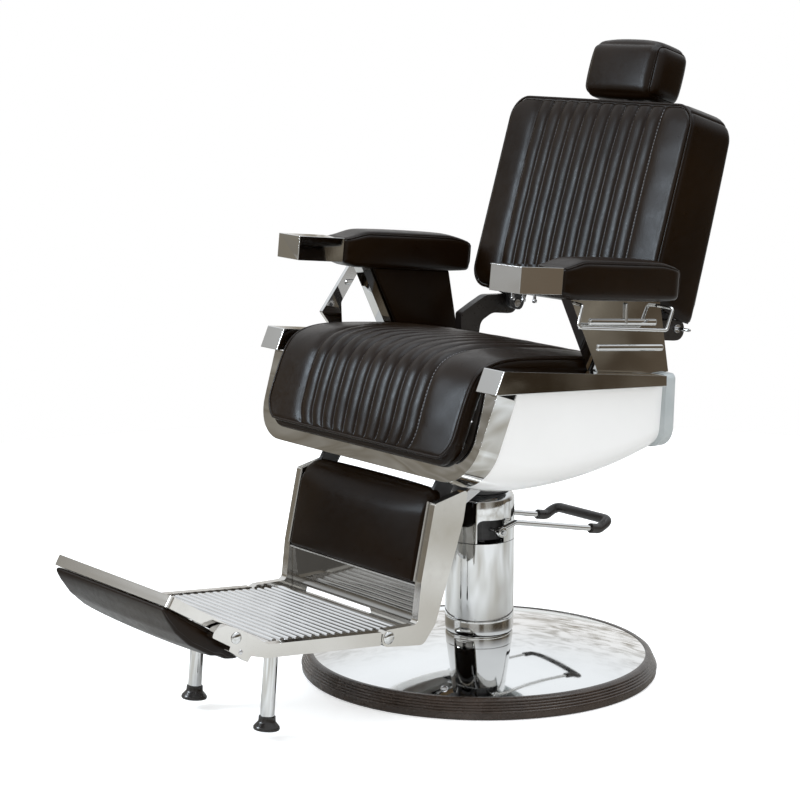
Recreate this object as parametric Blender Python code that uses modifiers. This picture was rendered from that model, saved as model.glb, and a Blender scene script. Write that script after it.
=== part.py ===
"""Hydraulic barber chair: round base, pump column, reclining back, leg rest and folding footrest.

Metres, +Z up. The sitter faces -Y, and +X is the sitter's left. The origin is on the column's
axis, at the floor. Each moving assembly hangs from an empty on its joint's axis, and the sizes
below are the driving ones.
"""

import math

import bmesh
import bpy
from mathutils import Vector

GAP = 0.0003  # between faces that touch on the real chair
OVERSHOOT = 0.01  # how far a cutter passes the faces that it cuts

# Base and column
BASE_RADIUS = 0.340
ROUND_STEPS = 40
RING_INNER = 0.3193
DOME_RADIUS = 0.319
DOME_EDGE_TOP = 0.0375
DOME_RISE = 0.042
DOME_SHEET = 0.003
SCREW_RING = 0.295
SCREW_ANGLES = (-52.0, 128.0)
COLUMN_RADIUS = 0.0657
SLEEVE_BORE = 0.060
COLLAR_TOP = 0.107
SLEEVE_TOP = 0.2575
HEAD_TOP = 0.350
HUB_TOP = 0.400
CYLINDER_RADIUS = 0.052
CYLINDER_TOP = 0.245
RAM_RADIUS = 0.030
RAM_FOOT = 0.0505
RAM_TOP = 0.385

# Pump lever
LEVER_PIVOT = (-0.014, 0.283)
LEVER_HALF_WIDTH = 0.0775
LEVER_ROD = 0.0056
GRIP_RADIUS = 0.0098
BOSS_RADIUS = 0.0095

# Seat
BAND_INNER, BAND_OUTER = 0.297, 0.352
BAND_FRONT_TOP, BAND_FRONT_FOOT = (-0.244, 0.645), (-0.262, 0.605)
BAND_REAR_TOP, BAND_REAR_FOOT = (0.142, 0.600), (0.142, 0.581)
APRON_LEAN = 18.8
APRON_AT = (0.0, -0.244, 0.594)
APRON_DEPTH = 0.045
APRON_TOP, APRON_FOOT = 0.0075, -0.1594
APRON_HALF_TOP, APRON_HALF_FOOT = 0.331, 0.318
TUB_REAR = 0.1455
TUB_LOW_Y, TUB_LOW_Z = -0.13, 0.410
SHELL_SHEET = 0.003
SEAT_SLOPE = 6.7
FRONT_CROSS_Y, REAR_CROSS_Y = -0.208, 0.100
CUSHION_HALF = 0.279

# Arms: their frame stands at the joint of the chrome block and the pad
ARM_AT = (0.3135, -0.115, 0.7895)
ARM_DROP, ARM_TOE = 5.5, 3.5
ARM_WIDTH = 0.0755
ARM_BLOCK_LENGTH, ARM_BLOCK_HEIGHT = 0.103, 0.0465
PAD_LENGTH, PAD_FOOT, PAD_TOP = 0.312, -0.0325, 0.035
POST_INNER, POST_OUTER = 0.2905, 0.3175

# Backrest
BACK_PIVOT = (0.266, 0.664)
BACK_LEAN = 17.0
BACK_HALF = 0.255
BACK_FRONT = -0.096
BACK_FOOT, BACK_TOP = 0.028, 0.405
CRANK = 0.070
LINK_X = 0.125
LINK_THICK = 0.006

# Leg rest
LEG_PIVOT = (-0.243, 0.388)
LEG_LEAN = 12.3
LEG_FRONT = -0.308
LEG_INNER, LEG_OUTER = 0.1913, 0.2085
FOOT_PIN = (-0.380, 0.169)

# Footplate and flip panel, in the footplate's own tilted frame
FOOT_TILT = 4.67
TREAD_FRONT, TREAD_REAR = -0.254, 0.062
TREAD_TOP = 0.0113
TREAD_HALF = 0.191
FLIP_PIN = (-0.3233, 0.0278)
FLIP_TILT = 31.0 - FOOT_TILT
FLIP_HALF = 0.185
LEG_TUBE_X, LEG_TUBE_Y, LEG_TUBE_RADIUS = 0.115, -0.183, 0.0125

# Recline release lever, on the sitter's right
RELEASE_PIVOT = (-0.073, 0.609)
RELEASE_X = -0.3645
RELEASE_THICK = 0.009

PARTS = "barber_chair"
CUTTERS = "cutters"


# ---------------------------------------------------------------- scene and looks
def clear_scene():
    for obj in list(bpy.data.objects):
        bpy.data.objects.remove(obj, do_unlink=True)
    for name in (PARTS, CUTTERS):
        bpy.context.scene.collection.children.link(bpy.data.collections.new(name))
    bpy.data.collections[CUTTERS].hide_render = True


def look(name, color, roughness, metallic=0.0):
    mat = bpy.data.materials.new(name)
    mat.use_nodes = True
    shader = mat.node_tree.nodes["Principled BSDF"]
    shader.inputs["Base Color"].default_value = (*color, 1.0)
    shader.inputs["Roughness"].default_value = roughness
    shader.inputs["Metallic"].default_value = metallic
    mat.diffuse_color = (*color, 1.0)
    return mat


def make_looks():
    return {
        "chrome": look("chrome", (0.86, 0.86, 0.87), 0.05, 1.0),
        "brushed": look("brushed_steel", (0.62, 0.62, 0.63), 0.3, 1.0),
        "aluminium": look("aluminium", (0.75, 0.75, 0.76), 0.28, 1.0),
        "iron": look("cast_iron", (0.08, 0.08, 0.085), 0.6, 0.6),
        "brass": look("brass", (0.72, 0.56, 0.28), 0.3, 1.0),
        "leather": look("black_leather", (0.022, 0.018, 0.017), 0.38),
        "white": look("white_gloss", (0.86, 0.86, 0.86), 0.12),
        "grey": look("grey_trim", (0.45, 0.48, 0.49), 0.35),
        "black": look("black_plastic", (0.02, 0.017, 0.016), 0.35),
        "rubber": look("dark_rubber", (0.035, 0.028, 0.025), 0.7),
        "wood": look("plywood", (0.52, 0.36, 0.2), 0.6),
        "frame": look("painted_steel", (0.05, 0.05, 0.052), 0.45),
    }


LOOKS = {}


# ---------------------------------------------------------------- modelling helpers
def joint(name, at, lean=0.0, parent=None):
    """An empty on a joint's axis, turned about X by lean degrees."""
    empty = bpy.data.objects.new(name, None)
    empty.location = at
    empty.rotation_euler.x = math.radians(lean)
    empty.parent = parent
    bpy.data.collections[PARTS].objects.link(empty)
    return empty


def to_collection(obj, name):
    for owner in list(obj.users_collection):
        owner.objects.unlink(obj)
    bpy.data.collections[name].objects.link(obj)


def finish(obj, name, kind, parent=None, rounding=0.0, smooth=False):
    """Names a piece, gives it its material and parent, and rounds its edges."""
    obj.name = name
    obj.data.name = name
    obj.data.materials.clear()
    obj.data.materials.append(LOOKS[kind])
    obj.parent = parent
    to_collection(obj, PARTS)
    if rounding:
        round_edges(obj, rounding)
    if smooth:
        smooth_round(obj)
    return obj


def round_edges(obj, width, segments=2):
    bevel = obj.modifiers.new("Rounded edges", "BEVEL")
    bevel.width = width
    bevel.segments = segments
    bevel.limit_method = "ANGLE"
    bevel.angle_limit = math.radians(40)


def smooth_round(obj):
    if obj.type == "MESH":
        obj.data.shade_smooth()
        obj.data.set_sharp_from_angle(angle=math.radians(35))


def box(size, at, turn=0.0):
    """A box, turned about X by turn degrees."""
    bpy.ops.mesh.primitive_cube_add(size=1.0, location=at)
    obj = bpy.context.object
    obj.scale = size
    bpy.ops.object.transform_apply(location=False, rotation=False, scale=True)
    obj.rotation_euler.x = math.radians(turn)
    return obj


def cylinder(radius, start, end, count=16):
    """A cylinder between two points on a line along X, Y or Z."""
    start, end = Vector(start), Vector(end)
    span = end - start
    bpy.ops.mesh.primitive_cylinder_add(vertices=count, radius=radius, depth=span.length)
    obj = bpy.context.object
    obj.rotation_euler = span.to_track_quat("Z", "Y").to_euler()
    bpy.ops.object.transform_apply(location=False, rotation=True, scale=False)
    obj.location = (start + end) / 2
    return obj


def turned(profile, closed=True, steps=28, at=(0.0, 0.0, 0.0)):
    """A turned solid: (radius, height) points from the top down the outer side.

    A closed profile makes a ring. An open one starts and ends on the axis.
    """
    mesh = bpy.data.meshes.new("profile")
    count = len(profile)
    edges = [(i, i + 1) for i in range(count - 1)] + ([(count - 1, 0)] if closed else [])
    mesh.from_pydata([(r, 0.0, z) for r, z in profile], edges, [])
    obj = bpy.data.objects.new("turned", mesh)
    bpy.data.collections[PARTS].objects.link(obj)
    obj.location = at
    screw = obj.modifiers.new("Turn", "SCREW")
    screw.steps = screw.render_steps = steps
    screw.use_merge_vertices = True
    screw.merge_threshold = 0.0001
    return obj


def fillet(corners):
    """Points of an outline whose corners (a, b, radius) are rounded with arcs."""
    points = []
    for i, (a, b, *radius) in enumerate(corners):
        here = Vector((a, b))
        if not radius or not radius[0]:
            points.append((a, b))
            continue
        before = (Vector(corners[i - 1][:2]) - here).normalized()
        after = (Vector(corners[(i + 1) % len(corners)][:2]) - here).normalized()
        half = before.angle(after) / 2
        reach = radius[0] / math.tan(half)
        middle = here + (before + after).normalized() * radius[0] / math.sin(half)
        start = here + before * reach - middle
        sweep = start.angle_signed(here + after * reach - middle)
        steps = max(2, round(abs(sweep) / math.radians(30)))
        for k in range(steps + 1):
            turn = -sweep * k / steps
            spun = Vector((
                start.x * math.cos(turn) - start.y * math.sin(turn),
                start.x * math.sin(turn) + start.y * math.cos(turn),
            ))
            points.append(tuple(middle + spun))
    return points


def circle(a, b, radius, count=12):
    turns = [2 * math.pi * k / count for k in range(count)]
    return [(a + radius * math.cos(t), b + radius * math.sin(t)) for t in turns]


PLANES = {
    "side": (math.pi / 2, 0.0, math.pi / 2),  # points are (y, z), thickness along X
    "front": (math.pi / 2, 0.0, 0.0),  # points are (x, z), thickness along Y
    "top": (0.0, 0.0, 0.0),  # points are (x, y), thickness along Z
}


def outline(plane, corners, thickness, at=(0.0, 0.0, 0.0), holes=()):
    """A flat outline with thickness, centred on at, with holes cut right through it."""
    data = bpy.data.curves.new("outline", "CURVE")
    data.dimensions = "2D"
    data.fill_mode = "BOTH"
    data.extrude = thickness / 2
    for points in [fillet(corners), *holes]:
        spline = data.splines.new("POLY")
        spline.points.add(len(points) - 1)
        for point, (a, b) in zip(spline.points, points):
            point.co = (a, b, 0.0, 1.0)
        spline.use_cyclic_u = True
    obj = bpy.data.objects.new("outline", data)
    bpy.data.collections[PARTS].objects.link(obj)
    obj.rotation_euler = PLANES[plane]
    obj.location = at
    return as_mesh(obj)


def as_mesh(obj):
    """Makes a curve a welded mesh whose axes are its parent's."""
    bpy.context.view_layer.update()
    graph = bpy.context.evaluated_depsgraph_get()
    mesh = bpy.data.meshes.new_from_object(obj.evaluated_get(graph))
    mesh.transform(obj.matrix_world)
    work = bmesh.new()
    work.from_mesh(mesh)
    bmesh.ops.remove_doubles(work, verts=work.verts, dist=0.00002)
    bmesh.ops.recalc_face_normals(work, faces=work.faces)
    work.to_mesh(mesh)
    work.free()
    solid = bpy.data.objects.new("solid", mesh)
    bpy.data.collections[PARTS].objects.link(solid)
    bpy.data.objects.remove(obj, do_unlink=True)
    return solid


def bent(corners):
    """A 3D path whose inner corners (x, y, z, radius) are rounded with short arcs."""
    points = []
    for i, (x, y, z, *radius) in enumerate(corners):
        here = Vector((x, y, z))
        if not radius or not radius[0]:
            points.append(here)
            continue
        before = (Vector(corners[i - 1][:3]) - here).normalized()
        after = (Vector(corners[i + 1][:3]) - here).normalized()
        reach = radius[0] / math.tan(before.angle(after) / 2)
        start, end = here + before * reach, here + after * reach
        for k in range(4):
            t = k / 3
            points.append(start * (1 - t) ** 2 + here * 2 * t * (1 - t) + end * t**2)
    return points


def tube(corners, radius, roundness=1):
    """A round bar along a bent path, with flat ends."""
    data = bpy.data.curves.new("tube", "CURVE")
    data.dimensions = "3D"
    data.bevel_depth = radius
    data.bevel_resolution = roundness
    data.use_fill_caps = True
    spline = data.splines.new("POLY")
    points = bent(corners)
    spline.points.add(len(points) - 1)
    for point, place in zip(spline.points, points):
        point.co = (*place, 1.0)
    obj = bpy.data.objects.new("tube", data)
    bpy.data.collections[PARTS].objects.link(obj)
    return as_mesh(obj)


def helper(obj, name):
    """Files a cutter, or a piece that is joined to another, out of the render."""
    obj.name = name
    obj.hide_render = True
    obj.display_type = "WIRE"
    to_collection(obj, CUTTERS)
    return obj


def combine(obj, other, operation, parent=None):
    other.parent = parent
    boolean = obj.modifiers.new(operation.capitalize(), "BOOLEAN")
    boolean.operation = operation
    boolean.solver = "EXACT"
    boolean.object = other
    return obj


def cut(obj, other, name, parent=None):
    return combine(obj, helper(other, name), "DIFFERENCE", parent)


def join(obj, other, name, parent=None):
    return combine(obj, helper(other, name), "UNION", parent)


def sides():
    """(name ending, +1 or -1) for the sitter's left and right."""
    return (("left", 1), ("right", -1))


def along(start, end, y):
    """Height at y on the line through two (y, z) points."""
    return start[1] + (end[1] - start[1]) * (y - start[0]) / (end[0] - start[0])


# ---------------------------------------------------------------- base
def dome_height(radius):
    return DOME_EDGE_TOP + DOME_RISE * (1 - (radius / DOME_RADIUS) ** 2)


def dome_radii(inner):
    return [inner + (DOME_RADIUS - inner) * k / 5 for k in range(6)]


def base_ring():
    """Rubber bumper ring with three grooves round its shoulder."""
    grooves = []
    for z in (0.027, 0.019):
        radius = BASE_RADIUS - 0.35 * max(0.0, z - 0.018)
        grooves += [(radius, z + 0.0022), (radius - 0.0018, z), (radius, z - 0.0022)]
    profile = [(RING_INNER, 0.0385), (0.327, 0.0385), (0.3345, 0.0345), *grooves]
    profile += [(BASE_RADIUS, 0.004), (BASE_RADIUS - 0.003, 0.0), (RING_INNER, 0.0)]
    return finish(turned(profile, steps=ROUND_STEPS), "base_ring", "rubber", smooth=True)


def base_dome():
    """Chrome cover, with the heads of the two screws that hold it to the ballast."""
    outer = [(r, dome_height(r)) for r in dome_radii(CYLINDER_RADIUS + 0.001)]
    inner = [(r, z - DOME_SHEET) for r, z in reversed(outer)]
    dome = finish(turned(outer + inner, steps=ROUND_STEPS), "base_dome", "chrome", smooth=True)
    for i, angle in enumerate(SCREW_ANGLES):
        turn = math.radians(angle)
        at = (SCREW_RING * math.cos(turn), SCREW_RING * math.sin(turn), dome_height(SCREW_RING))
        head = [(0.0, 0.006), (0.0048, 0.0048), (0.007, 0.002), (0.007, -0.0015), (0.0, -0.0015)]
        join(dome, turned(head, closed=False, steps=12, at=at), f"base_screw_{i + 1}")
    return dome


def base_ballast():
    """Cast plate that fills the dome and carries the pump's foot."""
    rim = CYLINDER_RADIUS + 0.0015
    under = [(r, dome_height(r) - DOME_SHEET - 2 * GAP) for r in dome_radii(rim)]
    profile = [(0.0, 0.0397), (rim, 0.0397), *under, (DOME_RADIUS, 0.0), (0.0, 0.0)]
    return finish(turned(profile, closed=False, steps=ROUND_STEPS), "base_ballast", "iron")


def pump_cylinder():
    floor = RAM_FOOT - 0.0005
    bore = RAM_RADIUS + GAP
    profile = [(0.0, floor), (bore, floor), (bore, CYLINDER_TOP), (CYLINDER_RADIUS, CYLINDER_TOP),
               (CYLINDER_RADIUS, 0.040), (0.0, 0.040)]
    return finish(turned(profile, closed=False), "pump_cylinder", "brushed", smooth=True)


def column_collar():
    foot = dome_height(CYLINDER_RADIUS) + GAP
    profile = [(CYLINDER_RADIUS + GAP, COLLAR_TOP), (COLUMN_RADIUS, COLLAR_TOP),
               (COLUMN_RADIUS, foot + 0.009), (COLUMN_RADIUS - 0.003, foot + 0.003),
               (COLUMN_RADIUS - 0.0075, foot), (CYLINDER_RADIUS + GAP, foot)]
    return finish(turned(profile), "column_collar", "brushed", smooth=True)


# ---------------------------------------------------------------- ram
def ram_rod():
    profile = [(0.0, RAM_TOP), (0.026, RAM_TOP), (RAM_RADIUS, RAM_TOP - 0.004),
               (RAM_RADIUS, RAM_FOOT), (0.0, RAM_FOOT)]
    return finish(turned(profile, closed=False, steps=24), "ram_rod", "chrome", smooth=True)


def ram_thrust_washer():
    foot = RAM_TOP + GAP
    washer = cylinder(0.0285, (0, 0, foot), (0, 0, foot + 0.0037))
    return finish(washer, "ram_thrust_washer", "brass", smooth=True)


# ---------------------------------------------------------------- pump head and column
def column_sleeve():
    profile = [(SLEEVE_BORE, SLEEVE_TOP), (COLUMN_RADIUS, SLEEVE_TOP),
               (COLUMN_RADIUS, COLLAR_TOP + GAP), (SLEEVE_BORE, COLLAR_TOP + GAP)]
    return finish(turned(profile), "column_sleeve", "chrome", smooth=True)


def pump_head():
    """Chrome cap of the column, with an arched window on each side for the lever."""
    foot = SLEEVE_TOP + 0.0005
    sheet = 0.0065
    shoulder = [(0.054, HEAD_TOP), (0.0615, HEAD_TOP - 0.004), (COLUMN_RADIUS, HEAD_TOP - 0.016)]
    profile = [(RAM_RADIUS + 0.001, HEAD_TOP), *shoulder, (COLUMN_RADIUS, foot),
               (SLEEVE_BORE, foot), (SLEEVE_BORE, HEAD_TOP - 0.016),
               (0.054, HEAD_TOP - sheet), (RAM_RADIUS + 0.001, HEAD_TOP - sheet)]
    head = finish(turned(profile), "pump_head", "chrome", smooth=True)
    arch = [(-0.046, foot - OVERSHOOT), (0.004, foot - OVERSHOOT), (0.004, 0.303, 0.004),
            (-0.046, 0.303, 0.010)]
    return cut(head, outline("side", arch, 0.16), "pump_head_windows")


def pump_block():
    """Valve block round the ram, with a stub on each side that the lever turns on."""
    profile = [(RAM_RADIUS + 0.001, 0.3432), (0.050, 0.3432), (0.050, 0.262),
               (RAM_RADIUS + 0.001, 0.262)]
    block = finish(turned(profile, steps=20), "pump_block", "iron", smooth=True)
    y, z = LEVER_PIVOT
    for ending, side in sides():
        stub = cylinder(0.0042, (side * 0.045, y, z), (side * 0.0885, y, z))
        join(block, stub, f"lever_stub_{ending}")
    return block


def seat_hub():
    """Socket over the ram's top, which the seat turns on."""
    bore = RAM_RADIUS + 0.0005
    ceiling = RAM_TOP + 0.0045
    profile = [(0.0, HUB_TOP), (0.050, HUB_TOP), (0.055, HUB_TOP - 0.005),
               (0.055, HEAD_TOP + GAP), (bore, HEAD_TOP + GAP), (bore, ceiling), (0.0, ceiling)]
    return finish(turned(profile, closed=False, steps=24), "seat_hub", "frame", smooth=True)


# ---------------------------------------------------------------- pump lever
def lever_corners(y_start):
    """The U-shaped rod, in the lever's frame, from y_start on the left round to the right."""
    half = LEVER_HALF_WIDTH
    y0, z0 = LEVER_PIVOT
    one_side = [(0.214, 0.2585), (0.236, 0.2545, 0.02), (0.264, 0.2675, 0.016)]
    left = [(half, y - y0, z - z0, *r) for y, z, *r in one_side if y >= y_start]
    right = [(-x, y, z, *r) for x, y, z, *r in reversed(left)]
    return left, right


def lever_fork():
    """U-shaped rod with a bored boss at each end."""
    y0, z0 = LEVER_PIVOT
    left, right = lever_corners(0.21)
    rise = (0.022 - y0, 0.2965 - z0)
    ends = [(LEVER_HALF_WIDTH, 0.002, 0.006), (LEVER_HALF_WIDTH, *rise, 0.012)]
    mirrored = [(-x, y, z, *r) for x, y, z, *r in reversed(ends)]
    frame = joint("pump_lever_joint", (0.0, y0, z0))
    rod = finish(tube([*ends, *left, *right, *mirrored], LEVER_ROD), "lever_fork", "chrome",
                 frame, smooth=True)
    for ending, side in sides():
        boss = cylinder(BOSS_RADIUS, (side * 0.0685, 0, 0), (side * 0.0845, 0, 0))
        join(rod, boss, f"lever_boss_{ending}", frame)
    bore = cylinder(0.0048, (-0.1, 0, 0), (0.1, 0, 0))
    cut(rod, bore, "lever_bore", frame)
    return frame


def lever_grip(frame):
    """Moulded sleeve on the closed end of the fork."""
    left, right = lever_corners(0.21)
    corners = [*left, *right]
    grip = finish(tube(corners, GRIP_RADIUS), "lever_grip", "black", frame, smooth=True)
    y0, z0 = LEVER_PIVOT
    reach = [(LEVER_HALF_WIDTH, 0.160 - y0, 0.2685 - z0)]
    back = [(-x, y, z) for x, y, z in reach]
    return cut(grip, tube([*reach, *left, *right, *back], LEVER_ROD + GAP), "grip_bore", frame)


# ---------------------------------------------------------------- seat frame
def rod_clear_half():
    """Half the width of the frame that clears the push rod."""
    return LINK_X - LINK_THICK / 2 - 0.012


def seat_frame():
    """Welded frame: plate on the hub, beams, rails, cross bars, risers and leg rest brackets."""
    half = rod_clear_half()
    frame = box((0.17, 0.17, 0.008), (0, 0, HUB_TOP + GAP + 0.004))
    finish(frame, "seat_frame", "frame")
    for name, y in (("front", -0.06), ("rear", 0.06)):
        join(frame, box((2 * half, 0.030, 0.018), (0, y, 0.416)), f"mount_beam_{name}")
    for ending, side in sides():
        rail = box((0.022, 0.355, 0.034), (side * (half - 0.0125), -0.055, 0.439))
        join(frame, rail, f"frame_rail_{ending}")
        join(frame, leg_bracket(side), f"leg_bracket_{ending}")
    for name, y, reach in (("front", FRONT_CROSS_Y, 0.250), ("rear", REAR_CROSS_Y, 0.290)):
        join(frame, box((2 * reach, 0.028, 0.022), (0, y, 0.4646)), f"frame_cross_{name}")
        join(frame, seat_riser(y), f"seat_riser_{name}")
    return frame


def seat_riser(y):
    """Pressed steel riser from a cross bar to the sloping seat board."""
    foot, reach = 0.470, 0.011
    top_front, top_rear = board_foot(y - reach) - GAP, board_foot(y + reach) - GAP
    shape = [(y - reach, foot), (y + reach, foot), (y + reach, top_rear), (y - reach, top_front)]
    return outline("side", shape, 2 * rod_clear_half() - 0.004)


def leg_bracket(side):
    """Plate under the front cross bar, bored for the leg rest's tube."""
    y, z = LEG_PIVOT
    top = 0.465
    shape = [(y - 0.012, z - 0.013, 0.010), (y + 0.012, z - 0.013, 0.010),
             (-0.196, top - 0.035), (-0.196, top), (-0.220, top), (y - 0.0125, z + 0.020, 0.005)]
    return outline("side", shape, 0.008, (side * 0.170, 0, 0), [circle(y, z, 0.0096)])


def board_top(y):
    """Top of the seat board, which slopes down to the back."""
    return 0.587 + math.tan(math.radians(SEAT_SLOPE)) * (0.125 - y)


def board_foot(y):
    return board_top(y) - 0.010


def seat_board():
    front, rear = -0.236, 0.125
    shape = [(front, board_foot(front)), (rear, board_foot(rear)), (rear, board_top(rear)),
             (front, board_top(front))]
    return finish(outline("side", shape, 0.530), "seat_board", "wood")


def seat_cushion():
    """Waterfall cushion: it drops over the board's front edge, inside the apron."""
    lift = 0.0006
    shape = [(0.135, 0.624, 0.012), (0.135, board_top(0.135) + lift),
             (-0.2365, board_top(-0.2365) + lift), (-0.252, 0.600), (-0.272, 0.487, 0.006),
             (-0.302, 0.484, 0.008), (-0.311, 0.530, 0.03), (-0.284, 0.606, 0.03),
             (-0.262, 0.642, 0.02), (-0.205, 0.6535, 0.03)]
    cushion = outline("side", shape, 2 * CUSHION_HALF + OVERSHOOT)
    foot = 0.482
    front = [(CUSHION_HALF, 0.70), (CUSHION_HALF, foot, 0.052), (-CUSHION_HALF, foot, 0.052),
             (-CUSHION_HALF, 0.70)]
    combine(cushion, helper(outline("front", front, 1.0), "cushion_sides"), "INTERSECT")
    return finish(cushion, "seat_cushion", "leather", rounding=0.008)


def front_apron():
    """U-shaped chrome frame round the waterfall of the cushion."""
    shape = [(APRON_HALF_TOP, APRON_TOP), (APRON_HALF_FOOT, APRON_FOOT, 0.078),
             (-APRON_HALF_FOOT, APRON_FOOT, 0.078), (-APRON_HALF_TOP, APRON_TOP),
             (-0.289, APRON_TOP), (-0.279, APRON_FOOT + 0.028, 0.050),
             (0.279, APRON_FOOT + 0.028, 0.050), (0.289, APRON_TOP)]
    apron = outline("front", shape, APRON_DEPTH, (0, APRON_DEPTH / 2, 0))
    apron.location = APRON_AT
    apron.rotation_euler.x = math.radians(-APRON_LEAN)
    return finish(apron, "front_apron", "chrome")


def apron_rear(z):
    """Where the apron's rear face stands at height z."""
    lean = math.radians(APRON_LEAN)
    y_at_top = APRON_AT[1] + APRON_DEPTH / math.cos(lean)
    return y_at_top + (z - APRON_AT[2]) * math.tan(lean)


def tub_foot(y):
    """Lowest line of the seat's side shells, which rises at both ends."""
    rise = 1.38 if y < TUB_LOW_Y else 0.61
    return TUB_LOW_Z + rise * (y - TUB_LOW_Y) ** 2


def side_shells():
    """White shells under the bands, lofted from the apron to the rear trim."""
    stations, drop = 8, 7
    for ending, side in sides():
        work = bmesh.new()
        rows = []
        for i in range(stations + 1):
            share = i / stations
            row = []
            for x, z in shell_section(share, drop):
                y = (1 - share) * (apron_rear(z) + GAP) + share * TUB_REAR
                row.append(work.verts.new((side * x, y, z)))
            rows.append(row)
        for low, high in zip(rows, rows[1:]):
            for a, b, c, d in zip(low, low[1:], high[1:], high):
                work.faces.new((a, b, c, d) if side > 0 else (d, c, b, a))
        bmesh.ops.recalc_face_normals(work, faces=work.faces)
        mesh = bpy.data.meshes.new("shell")
        work.to_mesh(mesh)
        work.free()
        obj = bpy.data.objects.new("shell", mesh)
        bpy.data.collections[PARTS].objects.link(obj)
        finish(obj, f"side_shell_{ending}", "white", smooth=True)
        sheet = obj.modifiers.new("Sheet", "SOLIDIFY")
        sheet.thickness = SHELL_SHEET
        sheet.offset = 1.0 if outward_is_inside(obj, side) else -1.0


def outward_is_inside(obj, side):
    """Whether the surface's normals point at the middle of the chair."""
    return sum(face.normal.x * face.area for face in obj.data.polygons) * side < 0


def shell_section(share, drop):
    """(x, z) points from the band down the side and round under the seat."""
    y_top = (1 - share) * apron_rear(0.60) + share * TUB_REAR
    top = along(BAND_FRONT_FOOT, BAND_REAR_FOOT, y_top) - 0.0012
    y_foot = (1 - share) * apron_rear(0.44) + share * TUB_REAR
    foot = tub_foot(y_foot)
    half_top, half_low = APRON_HALF_TOP - 0.0015, APRON_HALF_FOOT + 0.006 * share
    radius = 0.078 * (1 - share) + 0.045 * share
    points = [(half_top, top), ((half_top + half_low) / 2, (top + foot + radius) / 2)]
    for k in range(drop + 1):
        turn = math.pi / 2 * k / drop
        points.append((half_low - radius + radius * math.cos(turn),
                       foot + radius - radius * math.sin(turn)))
    points.append((0.235, foot))
    return points


def side_bands():
    """Chrome rails along the seat, deeper at the front."""
    shape = [BAND_FRONT_TOP, BAND_FRONT_FOOT, BAND_REAR_FOOT, BAND_REAR_TOP]
    middle = (BAND_INNER + BAND_OUTER) / 2
    for ending, side in sides():
        band = outline("side", shape, BAND_OUTER - BAND_INNER, (side * middle, 0, 0))
        finish(band, f"side_band_{ending}", "chrome")


def rear_trim():
    """Grey frame behind the shells, open in the middle for the recline linkage."""
    top, foot, half = 0.5995, 0.461, 0.345
    shape = [(half, top, 0.010), (half - 0.004, foot, 0.040), (-half + 0.004, foot, 0.040),
             (-half, top, 0.010), (-0.215, top), (-0.215, 0.575), (-0.300, 0.565, 0.012),
             (-0.300, 0.492, 0.015), (0.300, 0.492, 0.015), (0.300, 0.565, 0.012),
             (0.215, 0.575), (0.215, top)]
    trim = outline("front", shape, 0.0225, (0, TUB_REAR + GAP + 0.01125, 0))
    return finish(trim, "rear_trim", "grey")


def hinge_arms():
    """Fixed cranked arms that carry the backrest's hinge."""
    y, z = BACK_PIVOT
    foot = 0.5998
    shape = [(0.146, foot), (0.184, foot, 0.012), (0.190, 0.631, 0.02), (0.220, z - 0.018, 0.03),
             (y - 0.006, z - 0.0235, 0.012), (y + 0.0235, z - 0.0235, 0.0225),
             (y + 0.0235, z + 0.0235, 0.0225), (0.204, z + 0.0235, 0.03),
             (0.172, z + 0.004, 0.03), (0.139, 0.651, 0.006), (0.139, 0.625)]
    for ending, side in sides():
        arm = outline("side", shape, 0.022, (side * 0.240, 0, 0), [circle(y, z, 0.0085)])
        finish(arm, f"hinge_arm_{ending}", "black")


# ---------------------------------------------------------------- arms
def arm_point(along_arm, height):
    """World (y, z) of a point in the arms' tilted frame."""
    drop = math.radians(ARM_DROP)
    return (ARM_AT[1] + along_arm * math.cos(drop) + height * math.sin(drop),
            ARM_AT[2] - along_arm * math.sin(drop) + height * math.cos(drop))


def arm_tops():
    """Chrome blocks and tapering pads, which lean forward and toe in towards the back."""
    plan = [(ARM_WIDTH / 2, GAP), (0.0355, PAD_LENGTH, 0.03), (-0.0355, PAD_LENGTH, 0.03),
            (-ARM_WIDTH / 2, GAP)]
    for ending, side in sides():
        frame = joint(f"arm_frame_{ending}", (side * ARM_AT[0], *ARM_AT[1:]), -ARM_DROP)
        frame.rotation_euler.z = math.radians(side * ARM_TOE)
        block = box((ARM_WIDTH, ARM_BLOCK_LENGTH, ARM_BLOCK_HEIGHT), (0, -ARM_BLOCK_LENGTH / 2, 0))
        finish(block, f"arm_block_{ending}", "chrome", frame)
        pad = outline("top", plan, PAD_TOP - PAD_FOOT, (0, 0, (PAD_TOP + PAD_FOOT) / 2))
        finish(pad, f"arm_pad_{ending}", "leather", frame, rounding=0.012)


def post_shape(front_gap, rear_gap):
    """Side outline of an arm's post, from under the arm pad to the band."""
    under = PAD_FOOT - 0.0012
    front, rear = arm_point(0.0555 + front_gap, under), arm_point(0.273 - rear_gap, under)
    low_front, low_rear = 0.003 + front_gap, 0.178 - rear_gap
    trim_end = (TUB_REAR + 0.026, 0.6003)
    on_band = [(y, along(BAND_FRONT_TOP, BAND_REAR_TOP, y) + GAP) for y in (0.141, low_front)]
    return [front, rear, (low_rear, 0.6003), trim_end, *on_band]


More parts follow.
